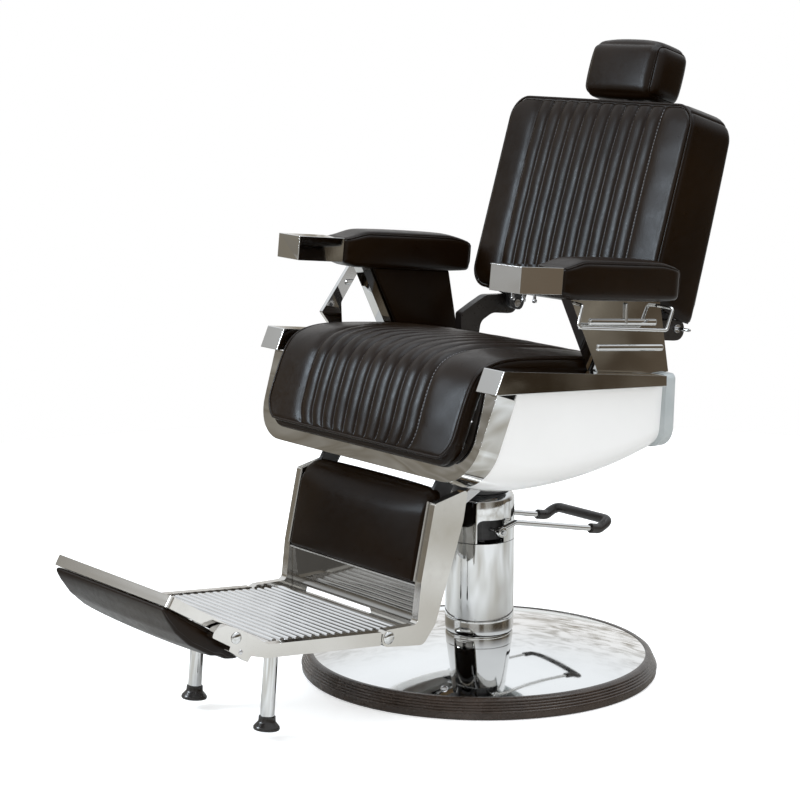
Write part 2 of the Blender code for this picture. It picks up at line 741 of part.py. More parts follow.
def arm_posts():
    """Chrome pillars with two pressed ribs outside and an upholstered panel inside."""
    middle, width = (POST_INNER + POST_OUTER) / 2, POST_OUTER - POST_INNER
    for ending, side in sides():
        post = outline("side", post_shape(0, 0), width, (side * middle, 0, 0))
        finish(post, f"arm_post_{ending}", "chrome")
        for name, y, z, length in (("upper", 0.062, 0.7010, 0.172), ("lower", 0.077, 0.6530, 0.162)):
            rib = box((0.010, length, 0.013), (side * POST_OUTER, y, z), -5.0)
            round_edges(rib, 0.0040, 1)
            join(post, rib, f"post_rib_{name}_{ending}")
        pad = outline("side", post_shape(0.024, 0.004), 0.0095, (side * (POST_INNER - 0.00505), 0, 0))
        finish(pad, f"arm_panel_{ending}", "leather")


def towel_rail():
    """Wire rail on the sitter's left: its two ends turn in to the post."""
    x_in, x_out, wire = POST_OUTER + 0.0016, 0.352, 0.0032
    front, rear = (-0.040, 0.7440), (0.158, 0.7215)
    low_front, low_rear = (-0.078, 0.7115), (0.129, 0.6880)
    path = [(x_in, *front), (x_out - 0.006, front[0] - 0.010, front[1], 0.008),
            (x_out, *low_front, 0.008), (x_out, *low_rear, 0.008),
            (x_out - 0.006, rear[0] + 0.006, rear[1], 0.008), (x_in, *rear)]
    return finish(tube(path, wire), "towel_rail", "chrome", smooth=True)


# ---------------------------------------------------------------- recline release
def release_lever():
    y, z = RELEASE_PIVOT
    frame = joint("release_joint", (RELEASE_X, y, z))
    shape = [(-0.0385, 0.750), (-0.109, 0.6595, 0.003), (y - 0.0135, 0.630, 0.01),
             (y - 0.0135, z - 0.0135, 0.013), (y + 0.0135, z - 0.0135, 0.013),
             (y + 0.0135, 0.632, 0.01), (-0.0615, 0.6755, 0.012), (-0.0195, 0.733)]
    lever = outline("side", shape, RELEASE_THICK, (0, -y, -z), [circle(y, z, 0.0055)])
    finish(lever, "release_lever", "chrome", frame)


def release_bolt():
    """Shouldered bolt in the band, on which the release lever turns."""
    y, z = RELEASE_PIVOT
    start = BAND_OUTER + GAP
    reach = -RELEASE_X + RELEASE_THICK / 2 + 0.0008
    bolt = cylinder(0.0048, (-start, y, z), (-reach - 0.001, y, z))
    finish(bolt, "release_bolt", "brushed", smooth=True)
    spacer_end = -RELEASE_X - RELEASE_THICK / 2 - 0.0008
    join(bolt, cylinder(0.009, (-start, y, z), (-spacer_end, y, z)), "release_spacer")
    join(bolt, cylinder(0.009, (-reach, y, z), (-reach - 0.004, y, z)), "release_bolt_head")


# ---------------------------------------------------------------- backrest
def back_parts(frame):
    """Cushion, rear board, hinge plates and shaft, in the leaning frame of the backrest."""
    low = BACK_FOOT - 0.015
    side_view = [(0, BACK_FOOT), (-0.049, BACK_FOOT), (-0.063, low), (BACK_FRONT, low),
                 (BACK_FRONT, BACK_TOP), (0, BACK_TOP)]
    cushion = outline("side", side_view, 2 * BACK_HALF)
    finish(cushion, "back_cushion", "leather", frame, rounding=0.012)
    channel = box((0.070, 0.030, 0.24), (0, 0, BACK_TOP - 0.10))
    cut(cushion, channel, "back_channel", frame)
    shape = [(GAP, 0.030), (0.036, 0.030, 0.012), (0.0145, 0.400, 0.008), (GAP, 0.400)]
    board = outline("side", shape, 2 * BACK_HALF - 0.004)
    finish(board, "back_board", "leather", frame, rounding=0.003)
    guide_outer = [(0.026, -0.0130), (0.026, -0.0005), (-0.026, -0.0005), (-0.026, -0.0130)]
    guide_hole = [(0.0206, -0.0108), (0.0206, -0.0027), (-0.0206, -0.0027), (-0.0206, -0.0108)]
    guide = outline("top", guide_outer, 0.100, (0, 0, 0.350), [guide_hole])
    finish(guide, "headrest_guide", "frame", frame)
    for ending, side in sides():
        pin = cylinder(0.008, (side * 0.2055, 0, 0), (side * 0.2508, 0, 0))
        finish(pin, f"hinge_pin_{ending}", "brushed", frame, smooth=True)


def crank_pin(side, y, z):
    """Short pin on the inner face of a crank, for the push rod's eye."""
    start = LINK_X + LINK_THICK / 2 + 0.003
    return cylinder(0.0045, (side * start, y, z), (side * (start - 0.0125), y, z))


def back_bracket(frame):
    """Welded bracket under the backrest: a plate, two cheeks, and a crank with the rod's pin."""
    foot, top = BACK_FOOT - GAP - 0.004, BACK_FOOT - GAP - 0.001
    bracket = box((0.440, 0.058, 0.004), (0, -0.006, foot + 0.002))
    finish(bracket, "back_bracket", "frame", frame)
    lean = math.radians(BACK_LEAN)
    low = (CRANK * math.sin(lean), -CRANK * math.cos(lean))
    bore = [circle(0, 0, 0.0083)]
    cheek = [(-0.030, top), (-0.016, -0.012, 0.012), (0.016, -0.012, 0.012), (0.021, top)]
    crank = [(-0.026, top), (-0.014, -0.01, 0.01), (low[0] - 0.012, low[1] - 0.012, 0.011),
             (low[0] + 0.012, low[1] - 0.012, 0.011), (0.018, top)]
    for ending, side in sides():
        at = (side * 0.212, 0, 0)
        join(bracket, outline("side", cheek, 0.010, at, bore), f"back_cheek_{ending}", frame)
    lug = outline("side", crank, LINK_THICK, (LINK_X + LINK_THICK + 0.001, 0, 0))
    join(bracket, lug, "back_crank", frame)
    join(bracket, crank_pin(1, *low), "rod_pin_rear", frame)
    return bracket


def headrest(frame):
    post = box((0.040, 0.0072, 0.2195), (0, -0.00675, 0.31))
    finish(post, "headrest_post", "brushed", frame)
    pad = box((0.204, 0.088, 0.104), (0, -0.0245, 0.4725))
    finish(pad, "headrest_pad", "leather", frame, rounding=0.018)


def push_rod():
    """Flat rod on the sitter's left, from the backrest's crank to the leg rest's, bored at both ends."""
    rear = (BACK_PIVOT[0], BACK_PIVOT[1] - CRANK)
    front = (LEG_PIVOT[0] - rear[0], LEG_PIVOT[1] - CRANK - rear[1])
    turn = math.atan2(front[1], front[0])
    across = (math.sin(turn) * 0.009, -math.cos(turn) * 0.009)
    along_rod = (math.cos(turn) * 0.009, math.sin(turn) * 0.009)
    ends = [(-along_rod[0], -along_rod[1]), (front[0] + along_rod[0], front[1] + along_rod[1])]
    shape = []
    for (y, z), order in ((ends[0], 1), (ends[1], -1)):
        shape.append((y - order * across[0], z - order * across[1], 0.0085))
        shape.append((y + order * across[0], z + order * across[1], 0.0085))
    holes = [circle(0, 0, 0.0050), circle(*front, 0.0055)]
    frame = joint("push_rod_joint", (0, *rear))
    finish(outline("side", shape, LINK_THICK, (LINK_X, 0, 0), holes), "push_rod", "brushed", frame)


# ---------------------------------------------------------------- leg rest
def leg_plates(frame):
    """Cranked chrome plates: the short foot of each ends in the footplate's hinge."""
    y, z = FOOT_PIN
    shape = [(-0.278, 0.394, 0.006), (-0.308, 0.257, 0.03), (-0.3165, 0.1825, 0.010),
             (y + 0.006, z + 0.0145, 0.01), (y - 0.0145, z + 0.0145, 0.0140),
             (y - 0.0145, z - 0.0145, 0.0140), (-0.303, 0.1430, 0.016), (-0.276, 0.176, 0.02),
             (-0.242, 0.270, 0.05), (-0.213, 0.356, 0.02), (-0.203, 0.411, 0.006)]
    pivot = LEG_PIVOT
    for ending, side in sides():
        plate = outline("side", shape, LEG_OUTER - LEG_INNER,
                        (side * (LEG_INNER + LEG_OUTER) / 2, -pivot[0], -pivot[1]),
                        [circle(y, z, 0.0062)])
        finish(plate, f"leg_plate_{ending}", "chrome", frame)


def leg_panels(frame):
    """Shin pad above, chrome kick plate below, both leaning with the plates."""
    lean = math.tan(math.radians(LEG_LEAN))
    y0, z0 = LEG_PIVOT

    def slab(z_low, z_high, behind, thick):
        y_low = LEG_FRONT + (z_low - 0.257) * lean + behind
        y_high = LEG_FRONT + (z_high - 0.257) * lean + behind
        return [(y_low, z_low), (y_low + thick, z_low), (y_high + thick, z_high), (y_high, z_high)]

    width, at = 2 * LEG_INNER - 0.001, (0, -y0, -z0)
    low, shoulder, top = 0.2515, 0.360, 0.400
    front_low, front_top = slab(low, top, -0.004, 0)[0], slab(low, top, -0.004, 0)[3]
    shape = [front_low, (front_low[0] + 0.034, low), (front_low[0] + 0.0475, shoulder),
             (front_top[0] + 0.010, top), front_top]
    finish(outline("side", shape, width, at), "shin_pad", "leather", frame, rounding=0.004)
    plate = outline("side", slab(0.1925, 0.2508, 0.006, 0.003), width, at)
    finish(plate, "kick_plate", "chrome", frame)


def leg_tube(frame):
    """Welded tube on the leg rest's axis, with a crank and pin for the push rod."""
    reach = LEG_INNER - GAP
    shaft = cylinder(0.009, (-reach, 0, 0), (reach, 0, 0))
    finish(shaft, "leg_tube", "frame", frame, smooth=True)
    crank = [(-0.012, 0.011, 0.010), (-0.010, -CRANK - 0.010, 0.009),
             (0.010, -CRANK - 0.010, 0.009), (0.012, 0.011, 0.010)]
    lug = outline("side", crank, LINK_THICK, (LINK_X + LINK_THICK + 0.001, 0, 0))
    join(shaft, lug, "leg_crank", frame)
    join(shaft, crank_pin(1, 0, -CRANK), "rod_pin_front", frame)
    return shaft


# ---------------------------------------------------------------- footplate and flip panel
def tread_plate(frame):
    """Pressed plate, ribbed across, between the side rails."""
    ribs, pitch, depth = 17, 0.0165, 0.002
    foot, start = TREAD_TOP - 0.010, TREAD_FRONT + 0.014
    shape = [(TREAD_FRONT, foot), (TREAD_REAR, foot), (TREAD_REAR, TREAD_TOP)]
    for i in reversed(range(ribs)):
        y = start + i * pitch
        shape += [(y + 0.0125, TREAD_TOP), (y + 0.0105, TREAD_TOP - depth),
                  (y + 0.0045, TREAD_TOP - depth), (y + 0.0025, TREAD_TOP)]
    shape.append((TREAD_FRONT, TREAD_TOP))
    plate = outline("side", shape, 2 * TREAD_HALF - GAP)
    return finish(plate, "tread_plate", "aluminium", frame)


def tread_rails(frame):
    """Side rails that kink up at the front to the flip panel's hinge."""
    y, z = FLIP_PIN
    low = -0.0125
    shape = [(-0.0165, low), (-0.0165, TREAD_TOP), (TREAD_FRONT - 0.002, TREAD_TOP, 0.02),
             (y + 0.010, z + 0.0135, 0.010), (y - 0.0135, z + 0.0115, 0.0125),
             (y - 0.0115, z - 0.0155, 0.0125), (TREAD_FRONT - 0.004, low, 0.02)]
    for ending, side in sides():
        rail = outline("side", shape, LEG_OUTER - LEG_INNER,
                       (side * (LEG_INNER + LEG_OUTER) / 2, 0, 0), [circle(y, z, 0.0056)])
        finish(rail, f"foot_rail_{ending}", "chrome", frame)


def headed_pin(side, start, end, radius):
    """A pin along X, and the domed head that stands outside the plate that it passes."""
    pin = cylinder(radius, (side * start, 0, 0), (side * (end + 0.001), 0, 0))
    head = cylinder(radius * 2, (side * end, 0, 0), (side * (end + 0.0035), 0, 0))
    return pin, head


def foot_pins(frame):
    for ending, side in sides():
        pin, head = headed_pin(side, TREAD_HALF + 0.0001, LEG_OUTER + GAP, 0.0056)
        finish(pin, f"foot_pin_{ending}", "chrome", frame, smooth=True)
        join(pin, head, f"foot_pin_head_{ending}", frame)


def foot_legs(frame):
    """Two tubes with rubber shoes, which meet the floor when the chair is loaded."""
    top, shoe_top, foot = TREAD_TOP - 0.010 - GAP, -0.146, -0.1665
    for ending, side in sides():
        x = side * LEG_TUBE_X
        leg = cylinder(LEG_TUBE_RADIUS, (x, LEG_TUBE_Y, top), (x, LEG_TUBE_Y, shoe_top + 0.004))
        finish(leg, f"foot_leg_{ending}", "chrome", frame, smooth=True)
        end = foot - shoe_top - 0.004
        bell = [(0.0, 0.0), (0.0145, 0.0), (0.0165, -0.006), (0.0225, end + 0.012),
                (0.0235, end + 0.004), (0.0215, end), (0.0, end)]
        shoe = turned(bell, closed=False, steps=16, at=(x, LEG_TUBE_Y, shoe_top + 0.0037))
        finish(shoe, f"foot_shoe_{ending}", "rubber", frame, smooth=True)


def flip_panel(frame):
    """Folding front section: a chrome tray on two headed pins, with a pad under it."""
    front, bar = -0.1365, 0.014
    shape = [(FLIP_HALF, 0.010), (FLIP_HALF, front, 0.006), (-FLIP_HALF, front, 0.006),
             (-FLIP_HALF, 0.010), (-FLIP_HALF + bar, 0.010), (-FLIP_HALF + bar, front + bar),
             (FLIP_HALF - bar, front + bar), (FLIP_HALF - bar, 0.010)]
    tray = outline("top", shape, 0.0195, (0, 0, 0.00575))
    finish(tray, "flip_tray", "chrome", frame)
    sheet = box((2 * (FLIP_HALF - bar) + 0.004, 0.128, 0.003), (0, -0.0578, 0.012))
    join(tray, sheet, "flip_sheet", frame)
    for ending, side in sides():
        pin, head = headed_pin(side, FLIP_HALF - 0.004, LEG_OUTER + GAP, 0.005)
        join(tray, pin, f"flip_pin_{ending}", frame)
        join(tray, head, f"flip_pin_head_{ending}", frame)
    pad_shape = [(-0.1345, -0.0043), (-0.1345, -0.0100), (-0.112, -0.0260, 0.03),
                 (-0.080, -0.0400, 0.03), (-0.010, -0.0445, 0.03), (0.036, -0.024, 0.006),
                 (0.036, -0.012, 0.004), (0.012, -0.0043)]
    pad = outline("side", pad_shape, 2 * FLIP_HALF - 0.010)
    finish(pad, "flip_pad", "leather", frame)


# ---------------------------------------------------------------- the chair
def build():
    clear_scene()
    LOOKS.update(make_looks())
    for make in (base_ring, base_dome, base_ballast, pump_cylinder, column_collar,
                 ram_rod, ram_thrust_washer, column_sleeve, pump_head, pump_block,
                 seat_hub, seat_frame, seat_board, seat_cushion,
                 front_apron, side_shells, side_bands, rear_trim, hinge_arms, arm_tops,
                 arm_posts, towel_rail, release_lever, release_bolt):
        make()
    lever_grip(lever_fork())

    back = joint("backrest_joint", (0, *BACK_PIVOT), -BACK_LEAN)
    back_parts(back)
    back_bracket(back)
    headrest(back)
    push_rod()

    leg = joint("legrest_joint", (0, *LEG_PIVOT))
    leg_plates(leg)
    leg_panels(leg)
    leg_tube(leg)

    foot = joint("footplate_joint", (0, *FOOT_PIN), -FOOT_TILT)
    tread_plate(foot)
    tread_rails(foot)
    foot_pins(foot)
    foot_legs(foot)

    flip = joint("flip_joint", (0, *FLIP_PIN), -FLIP_TILT, foot)
    flip_panel(flip)


build()
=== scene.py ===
"""Looks of the hydraulic barber chair: fine metal, upholstery, materials, light and camera.

Metres, +Z up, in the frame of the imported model. The sitter faces -Y, and +X is the sitter's left.
"""

import math

import bmesh
import bpy
import numpy as np
from mathutils import Matrix, Vector


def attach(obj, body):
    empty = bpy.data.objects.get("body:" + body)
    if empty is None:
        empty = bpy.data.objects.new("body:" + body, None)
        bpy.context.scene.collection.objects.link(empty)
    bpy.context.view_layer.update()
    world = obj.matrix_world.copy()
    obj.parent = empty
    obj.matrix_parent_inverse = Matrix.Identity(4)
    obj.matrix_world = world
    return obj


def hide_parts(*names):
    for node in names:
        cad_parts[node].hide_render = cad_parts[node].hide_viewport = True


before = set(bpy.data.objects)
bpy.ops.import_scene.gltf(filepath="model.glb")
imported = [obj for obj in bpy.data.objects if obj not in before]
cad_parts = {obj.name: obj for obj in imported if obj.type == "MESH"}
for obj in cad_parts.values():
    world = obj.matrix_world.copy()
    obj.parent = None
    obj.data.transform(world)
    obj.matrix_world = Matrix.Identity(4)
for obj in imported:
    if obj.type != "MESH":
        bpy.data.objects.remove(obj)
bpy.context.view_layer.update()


def turned(degrees, axis):
    return Matrix.Rotation(math.radians(degrees), 4, axis)


def moved(x, y, z):
    return Matrix.Translation((x, y, z))


SIDES = (("left", 1), ("right", -1))
# The joints' places and frames, as the CAD model has them
HINGE, KNEE, FLIP_HINGE = (0, 0.266, 0.664), (0, -0.380, 0.169), (0, -0.3233, 0.0278)
LEVER_AT = (0, -0.014, 0.283)
BACK = moved(*HINGE) @ turned(-17.0, "X")
FOOT = moved(*KNEE) @ turned(-4.67, "X")
FLIP = FOOT @ moved(*FLIP_HINGE) @ turned(-26.33, "X")
BASE_RADIUS, RING_INNER, DOME_RADIUS = 0.340, 0.3193, 0.319
COLUMN_RADIUS, SLEEVE_BORE, CYLINDER_RADIUS, RAM_RADIUS = 0.0657, 0.060, 0.052, 0.030
COLLAR_TOP, SLEEVE_TOP, HEAD_TOP, HUB_TOP = 0.107, 0.2575, 0.350, 0.400
LEG_INNER, LEG_OUTER = 0.1913, 0.2085
LEG_MIDDLE, LEG_WIDTH = (LEG_INNER + LEG_OUTER) / 2, LEG_OUTER - LEG_INNER
GAP = 0.0003


def arm_frame(side):
    return moved(side * 0.3135, -0.115, 0.7895) @ turned(side * 3.5, "Z") @ turned(-5.5, "X")


# ---------------------------------------------------------------- shader nodes
def add_node(tree, kind, values=(), links=(), **settings):
    """Adds a node with its settings, its inputs' values and the outputs that feed them."""
    node = tree.nodes.new("ShaderNode" + kind)
    for key, value in settings.items():
        setattr(node, key, value)
    for key, value in dict(values).items():
        node.inputs[key].default_value = value
    for key, source in dict(links).items():
        tree.links.new(source, node.inputs[key])
    return node


def noise(tree, where, scale, detail=4.0, roughness=0.5, distortion=0.0):
    values = {"Scale": scale, "Detail": detail, "Roughness": roughness, "Distortion": distortion}
    return add_node(tree, "TexNoise", values, {"Vector": where}).outputs["Fac"]


def spanned(tree, value, low, high, least=0.0, most=1.0, **settings):
    """Runs from least to most as value runs from low to high."""
    values = {"From Min": low, "From Max": high, "To Min": least, "To Max": most}
    return add_node(tree, "MapRange", values, {"Value": value}, **settings).outputs["Result"]


def mixed(tree, share, first, second):
    """The first colour where share is 0, the second where it is 1. A colour may be an output."""
    node = add_node(tree, "Mix", links={0: share}, data_type="RGBA")
    for socket, color in ((6, first), (7, second)):
        if isinstance(color, tuple):
            node.inputs[socket].default_value = (*color, 1)
        else:
            tree.links.new(color, node.inputs[socket])
    return node.outputs[2]


def ramped(tree, value, stops):
    """The colour that stops of (place, colour) give for value."""
    node = add_node(tree, "ValToRGB", links={"Fac": value})
    elements = node.color_ramp.elements
    while len(elements) < len(stops):
        elements.new(0.5)
    for element, (place, color) in zip(elements, stops):
        element.position = place
        element.color = (*color, 1)
    return node.outputs["Color"]


# ---------------------------------------------------------------- materials
class Look:
    """A Principled material being built from nodes, with the object's own coordinates."""

    def __init__(self, name, roughness, metallic=0.0, **more):
        self.mat = bpy.data.materials.new(name)
        self.mat.use_nodes = True
        self.tree = self.mat.node_tree
        self.inputs = self.tree.nodes["Principled BSDF"].inputs
        for key, value in {"Roughness": roughness, "Metallic": metallic, **more}.items():
            self.inputs[key.replace("_", " ")].default_value = value
        self.where = add_node(self.tree, "TexCoord").outputs["Object"]
        self.made = {}

    def feed(self, key, source):
        self.tree.links.new(source, self.inputs[key])

    def noise(self, *spec):
        """spec is a scale, and then if wanted detail, roughness, distortion and stretch."""
        if spec not in self.made:
            where = self.where
            if len(spec) == 5:
                node = add_node(self.tree, "Mapping", {"Scale": spec[4]}, {"Vector": where})
                where = node.outputs["Vector"]
            self.made[spec] = noise(self.tree, where, *spec[:4])
        return self.made[spec]

    def bump(self, layers):
        """Layers of (height, strength, distance), one on another."""
        before = {}
        for height, strength, distance in layers:
            node = add_node(self.tree, "Bump", {"Strength": strength, "Distance": distance},
                            {"Height": height, **before})
            before = {"Normal": node.outputs["Normal"]}
        self.feed("Normal", before["Normal"])


def surface(name, tint, stops, rough, bumps, *basic, **more):
    """A material whose colour runs over the noise tint and its roughness over rough's noise.

    stops holds the colours at 0.3 and 0.7 of the noise, or (place, colour) for each stop. rough is
    (noise, low, high, least, most), and bumps holds (noise, strength, distance).
    """
    look = Look(name, *basic, **more)
    if len(stops[0]) == 3:
        stops = list(zip((0.3, 0.7), stops))
    look.feed("Base Color", ramped(look.tree, look.noise(*tint), stops))
    if rough:
        look.feed("Roughness", spanned(look.tree, look.noise(*rough[0]), *rough[1:]))
    look.bump([(look.noise(*height), *size) for height, *size in bumps])
    return look.mat


def chrome(name, bright):
    shades = [tuple(share * bright for share in (tone, tone, tone - 0.01)) for tone in (0.93, 1.07)]
    return surface(name, (3.0,), shades, ((9.0, 5.0, 0.6), 0.45, 0.75, 0.03, 0.085),
                   [((5.0, 1.0), 0.05, 0.01), ((420.0, 2.0), 0.01, 0.0004)], 0.04, 1.0)


def leather(name, dark, shine):
    """Black leatherette, with pebbles, creases and a broad swell."""
    look = Look(name, 0.34, Specular_IOR_Level=shine, Specular_Tint=(0.84, 0.93, 1.0, 1.0))
    pebble = add_node(look.tree, "TexVoronoi", {"Scale": 520.0}, {"Vector": look.where},
                      feature="SMOOTH_F1").outputs["Distance"]
    crease, broad = look.noise(55.0, 6.0, 0.65, 1.2), look.noise(7.0, 3.0)
    look.feed("Base Color", ramped(look.tree, broad, [
        (0.3, (0.0060 * dark, 0.0024 * dark, 0.0004 * dark)),
        (0.7, (0.0095 * dark, 0.0042 * dark, 0.0010 * dark))]))
    look.feed("Roughness", spanned(look.tree, crease, 0.3, 0.7, 0.27, 0.40))
    look.bump([(pebble, 0.20, 0.0004), (crease, 0.04, 0.0010), (broad, 0.03, 0.003)])
    return look.mat


SCRATCHES = (60.0, 3.0, 0.6, 0.0, (0.05, 1.0, 1.0))
TURNING = (260.0, 3.0, 0.6, 0.0, (0.02, 0.02, 1.0))
ROLLING = (220.0, 4.0, 0.6, 0.0, (0.03, 1.0, 1.0))
# Broad wandering streaks that paint reflections into the plated chrome's colour
PAINTED_REFLECTION_STREAKS = (3.4, 2.0, 0.5, 1.9, (0.7, 1.0, 2.4))
WOOD_GRAIN = (14.0, 6.0, 0.6, 0.8, (1.0, 0.12, 4.0))
LOOKS = {
    "chrome": chrome("chrome", 0.645),
    # The dome's chrome: a brighter copy of the chrome, painted light for its bright reflections
    "chrome_painted_light": chrome("chrome_painted_light", 0.80),
    "polished": surface(
        "polished_steel", (4.0,), [(0.55, 0.53, 0.49), (0.65, 0.63, 0.60)],
        (SCRATCHES, 0.3, 0.7, 0.05, 0.16),
        [(SCRATCHES, 0.03, 0.0005), ((6.0, 1.0), 0.06, 0.01)], 0.1, 1.0),
    # Chrome over a cast frame, with broad wandering streaks of painted reflection in its colour
    "plated": surface(
        "cast_chrome_painted_reflections", PAINTED_REFLECTION_STREAKS, [(0.34, (0.42, 0.40, 0.36)), (0.47, (0.66, 0.66, 0.65)),
                                    (0.53, (0.50, 0.48, 0.44)), (0.66, (0.74, 0.75, 0.75))],
        ((9.0, 5.0, 0.6), 0.45, 0.75, 0.04, 0.10), [((5.0, 1.0), 0.06, 0.01)], 0.06, 1.0),
    "mirror": surface(
        "mirror_steel", (5.0,), [(0.34, 0.33, 0.31), (0.44, 0.43, 0.41)],
        ((14.0, 5.0, 0.6), 0.4, 0.75, 0.03, 0.09), [((6.0, 1.0), 0.05, 0.01)], 0.07, 1.0),
    "glossy_rubber": surface(
        "glossy_rubber", (30.0, 4.0), [(0.010, 0.008, 0.007), (0.020, 0.017, 0.015)],
        ((80.0, 4.0), 0.3, 0.7, 0.18, 0.32), [((900.0, 3.0), 0.08, 0.0003)], 0.25),
    "brushed_steel": surface(
        "brushed_steel", TURNING, [(0.55, 0.55, 0.56), (0.72, 0.72, 0.73)],
        (TURNING, 0.3, 0.7, 0.16, 0.32), [(TURNING, 0.08, 0.0004)], 0.24, 1.0),
    "aluminium": surface(
        "aluminium", (8.0,), [(0.68, 0.68, 0.68), (0.77, 0.77, 0.77)],
        (ROLLING, 0.3, 0.7, 0.08, 0.17), [(ROLLING, 0.05, 0.0003)], 0.12, 1.0),
    "black_leather": leather("leatherette", 1.0, 0.18),
    # The shin pad's leatherette: duller, and darker in colour, which is painted shade
    "leather_dull_painted_shade": leather("leatherette_dull_painted_shade", 0.75, 0.08),
    "thread": surface(
        "thread", (900.0,), [(0.10, 0.10, 0.11), (0.22, 0.22, 0.24)], None,
        [((1500.0,), 0.3, 0.0003)], 0.5, Sheen_Weight=0.3),
    "white_gloss": surface(
        "white_gloss", (5.0,), [(0.86, 0.86, 0.86), (0.90, 0.90, 0.90)],
        ((30.0, 5.0), 0.3, 0.7, 0.14, 0.24), [((18.0, 2.0), 0.04, 0.003)], 0.16, Coat_Weight=0.5,
        Coat_Roughness=0.06),
    "grey_trim": surface(
        "grey_trim", (20.0,), [(0.40, 0.44, 0.45), (0.47, 0.50, 0.51)],
        ((300.0, 3.0), 0.3, 0.7, 0.30, 0.42), [((900.0, 3.0), 0.06, 0.0003)], 0.35),
    "black_plastic": surface(
        "black_plastic", (12.0,), [(0.012, 0.010, 0.009), (0.024, 0.020, 0.018)],
        ((200.0, 4.0), 0.3, 0.7, 0.26, 0.42), [((700.0, 3.0), 0.10, 0.0004)], 0.33),
    "dark_rubber": surface(
        "dark_rubber", (25.0, 6.0), [(0.3, (0.026, 0.017, 0.012)), (0.75, (0.050, 0.035, 0.027))],
        ((60.0, 5.0), 0.3, 0.7, 0.20, 0.34), [((1200.0, 3.0), 0.12, 0.0004)], 0.3,
        Specular_IOR_Level=0.55),
    "painted_steel": surface(
        "painted_steel", (15.0,), [(0.03, 0.03, 0.032), (0.05, 0.05, 0.053)],
        ((80.0, 4.0), 0.3, 0.7, 0.38, 0.52), [((420.0, 3.0), 0.14, 0.0006)], 0.45),
    "cast_iron": surface(
        "cast_iron", (30.0, 6.0), [(0.05, 0.05, 0.052), (0.10, 0.10, 0.10)],
        ((90.0, 5.0), 0.3, 0.7, 0.5, 0.75), [((260.0, 5.0), 0.4, 0.001)], 0.62, 0.5),
    "brass": surface(
        "brass", (40.0,), [(0.66, 0.50, 0.24), (0.78, 0.60, 0.32)],
        ((120.0, 4.0), 0.3, 0.7, 0.2, 0.36), [((500.0,), 0.05, 0.0003)], 0.28, 1.0),
    "plywood": surface(
        "plywood", WOOD_GRAIN, [(0.36, 0.23, 0.12), (0.58, 0.42, 0.25)],
        (WOOD_GRAIN, 0.3, 0.7, 0.5, 0.7), [(WOOD_GRAIN, 0.2, 0.0008)], 0.6),
}


# ---------------------------------------------------------------- making pieces
def add_object(name, data):
    obj = bpy.data.objects.new(name, data)
    bpy.context.scene.collection.objects.link(obj)
    return obj


def new_mesh(name, points, faces):
    mesh = bpy.data.meshes.new(name)
    mesh.from_pydata([tuple(p) for p in points], [], [tuple(f) for f in faces])
    mesh.update()
    return add_object(name, mesh)


def evaluated_mesh(obj):
    bpy.context.view_layer.update()
    return bpy.data.meshes.new_from_object(
        obj.evaluated_get(bpy.context.evaluated_depsgraph_get()))


def soften(obj, angle=35.0):
    obj.data.shade_smooth()
    obj.data.set_sharp_from_angle(angle=math.radians(angle))


def round_edges(obj, width, limit=32.0):
    modifier = obj.modifiers.new("Edges", "BEVEL")
    modifier.width = width
    modifier.segments = 3
    modifier.limit_method = "ANGLE"
    modifier.angle_limit = math.radians(limit)
    modifier.harden_normals = True


def bevel(obj, width):
    round_edges(obj, width)
    soften(obj)


def paint(obj, kind):
    obj.data.materials.clear()
    obj.data.materials.append(LOOKS[kind])


def piece(obj, name, body, kind, replaces=(), at=None, edge=0.0):
    """Names a piece, gives it its material, rounds its edges and rides it on its body."""
    obj.name = obj.data.name = name
    if at is not None:
        obj.data.transform(at)
    paint(obj, kind)
    if edge:
        bevel(obj, edge)
    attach(obj, body)
    if replaces:
        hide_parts(*([replaces] if isinstance(replaces, str) else replaces))
    return obj


def face_outwards(mesh, weld=0.0):
    """Turns the faces outwards, after joining the points nearer than weld."""
    work = bmesh.new()
    work.from_mesh(mesh)
    if weld:
        bmesh.ops.remove_doubles(work, verts=work.verts, dist=weld)
    bmesh.ops.recalc_face_normals(work, faces=work.faces)
    work.to_mesh(mesh)
    work.free()


def lathe(profile, closed=False, steps=160, at=(0, 0, 0), turn=None):
    """A turned solid from (radius, height) points, top first down the outside."""
    points, rows = [], []
    for radius, height in profile:
        if radius < 1e-6:
            rows.append([len(points)] * steps)
            points.append((0, 0, height))
            continue
        rows.append(list(range(len(points), len(points) + steps)))
        for k in range(steps):
            a = 2 * math.pi * k / steps
            points.append((radius * math.cos(a), radius * math.sin(a), height))
    pairs = list(zip(rows, rows[1:])) + ([(rows[-1], rows[0])] if closed else [])
    faces = []
    for top, low in pairs:
        for k in range(steps):
            n = (k + 1) % steps
            ring = list(dict.fromkeys((top[k], low[k], low[n], top[n])))
            if len(ring) > 2:
                faces.append(ring)
    obj = new_mesh("lathe", points, faces)
    if turn:
        obj.data.transform(turn)
    obj.data.transform(moved(*at))
    face_outwards(obj.data)
    soften(obj)
    return obj


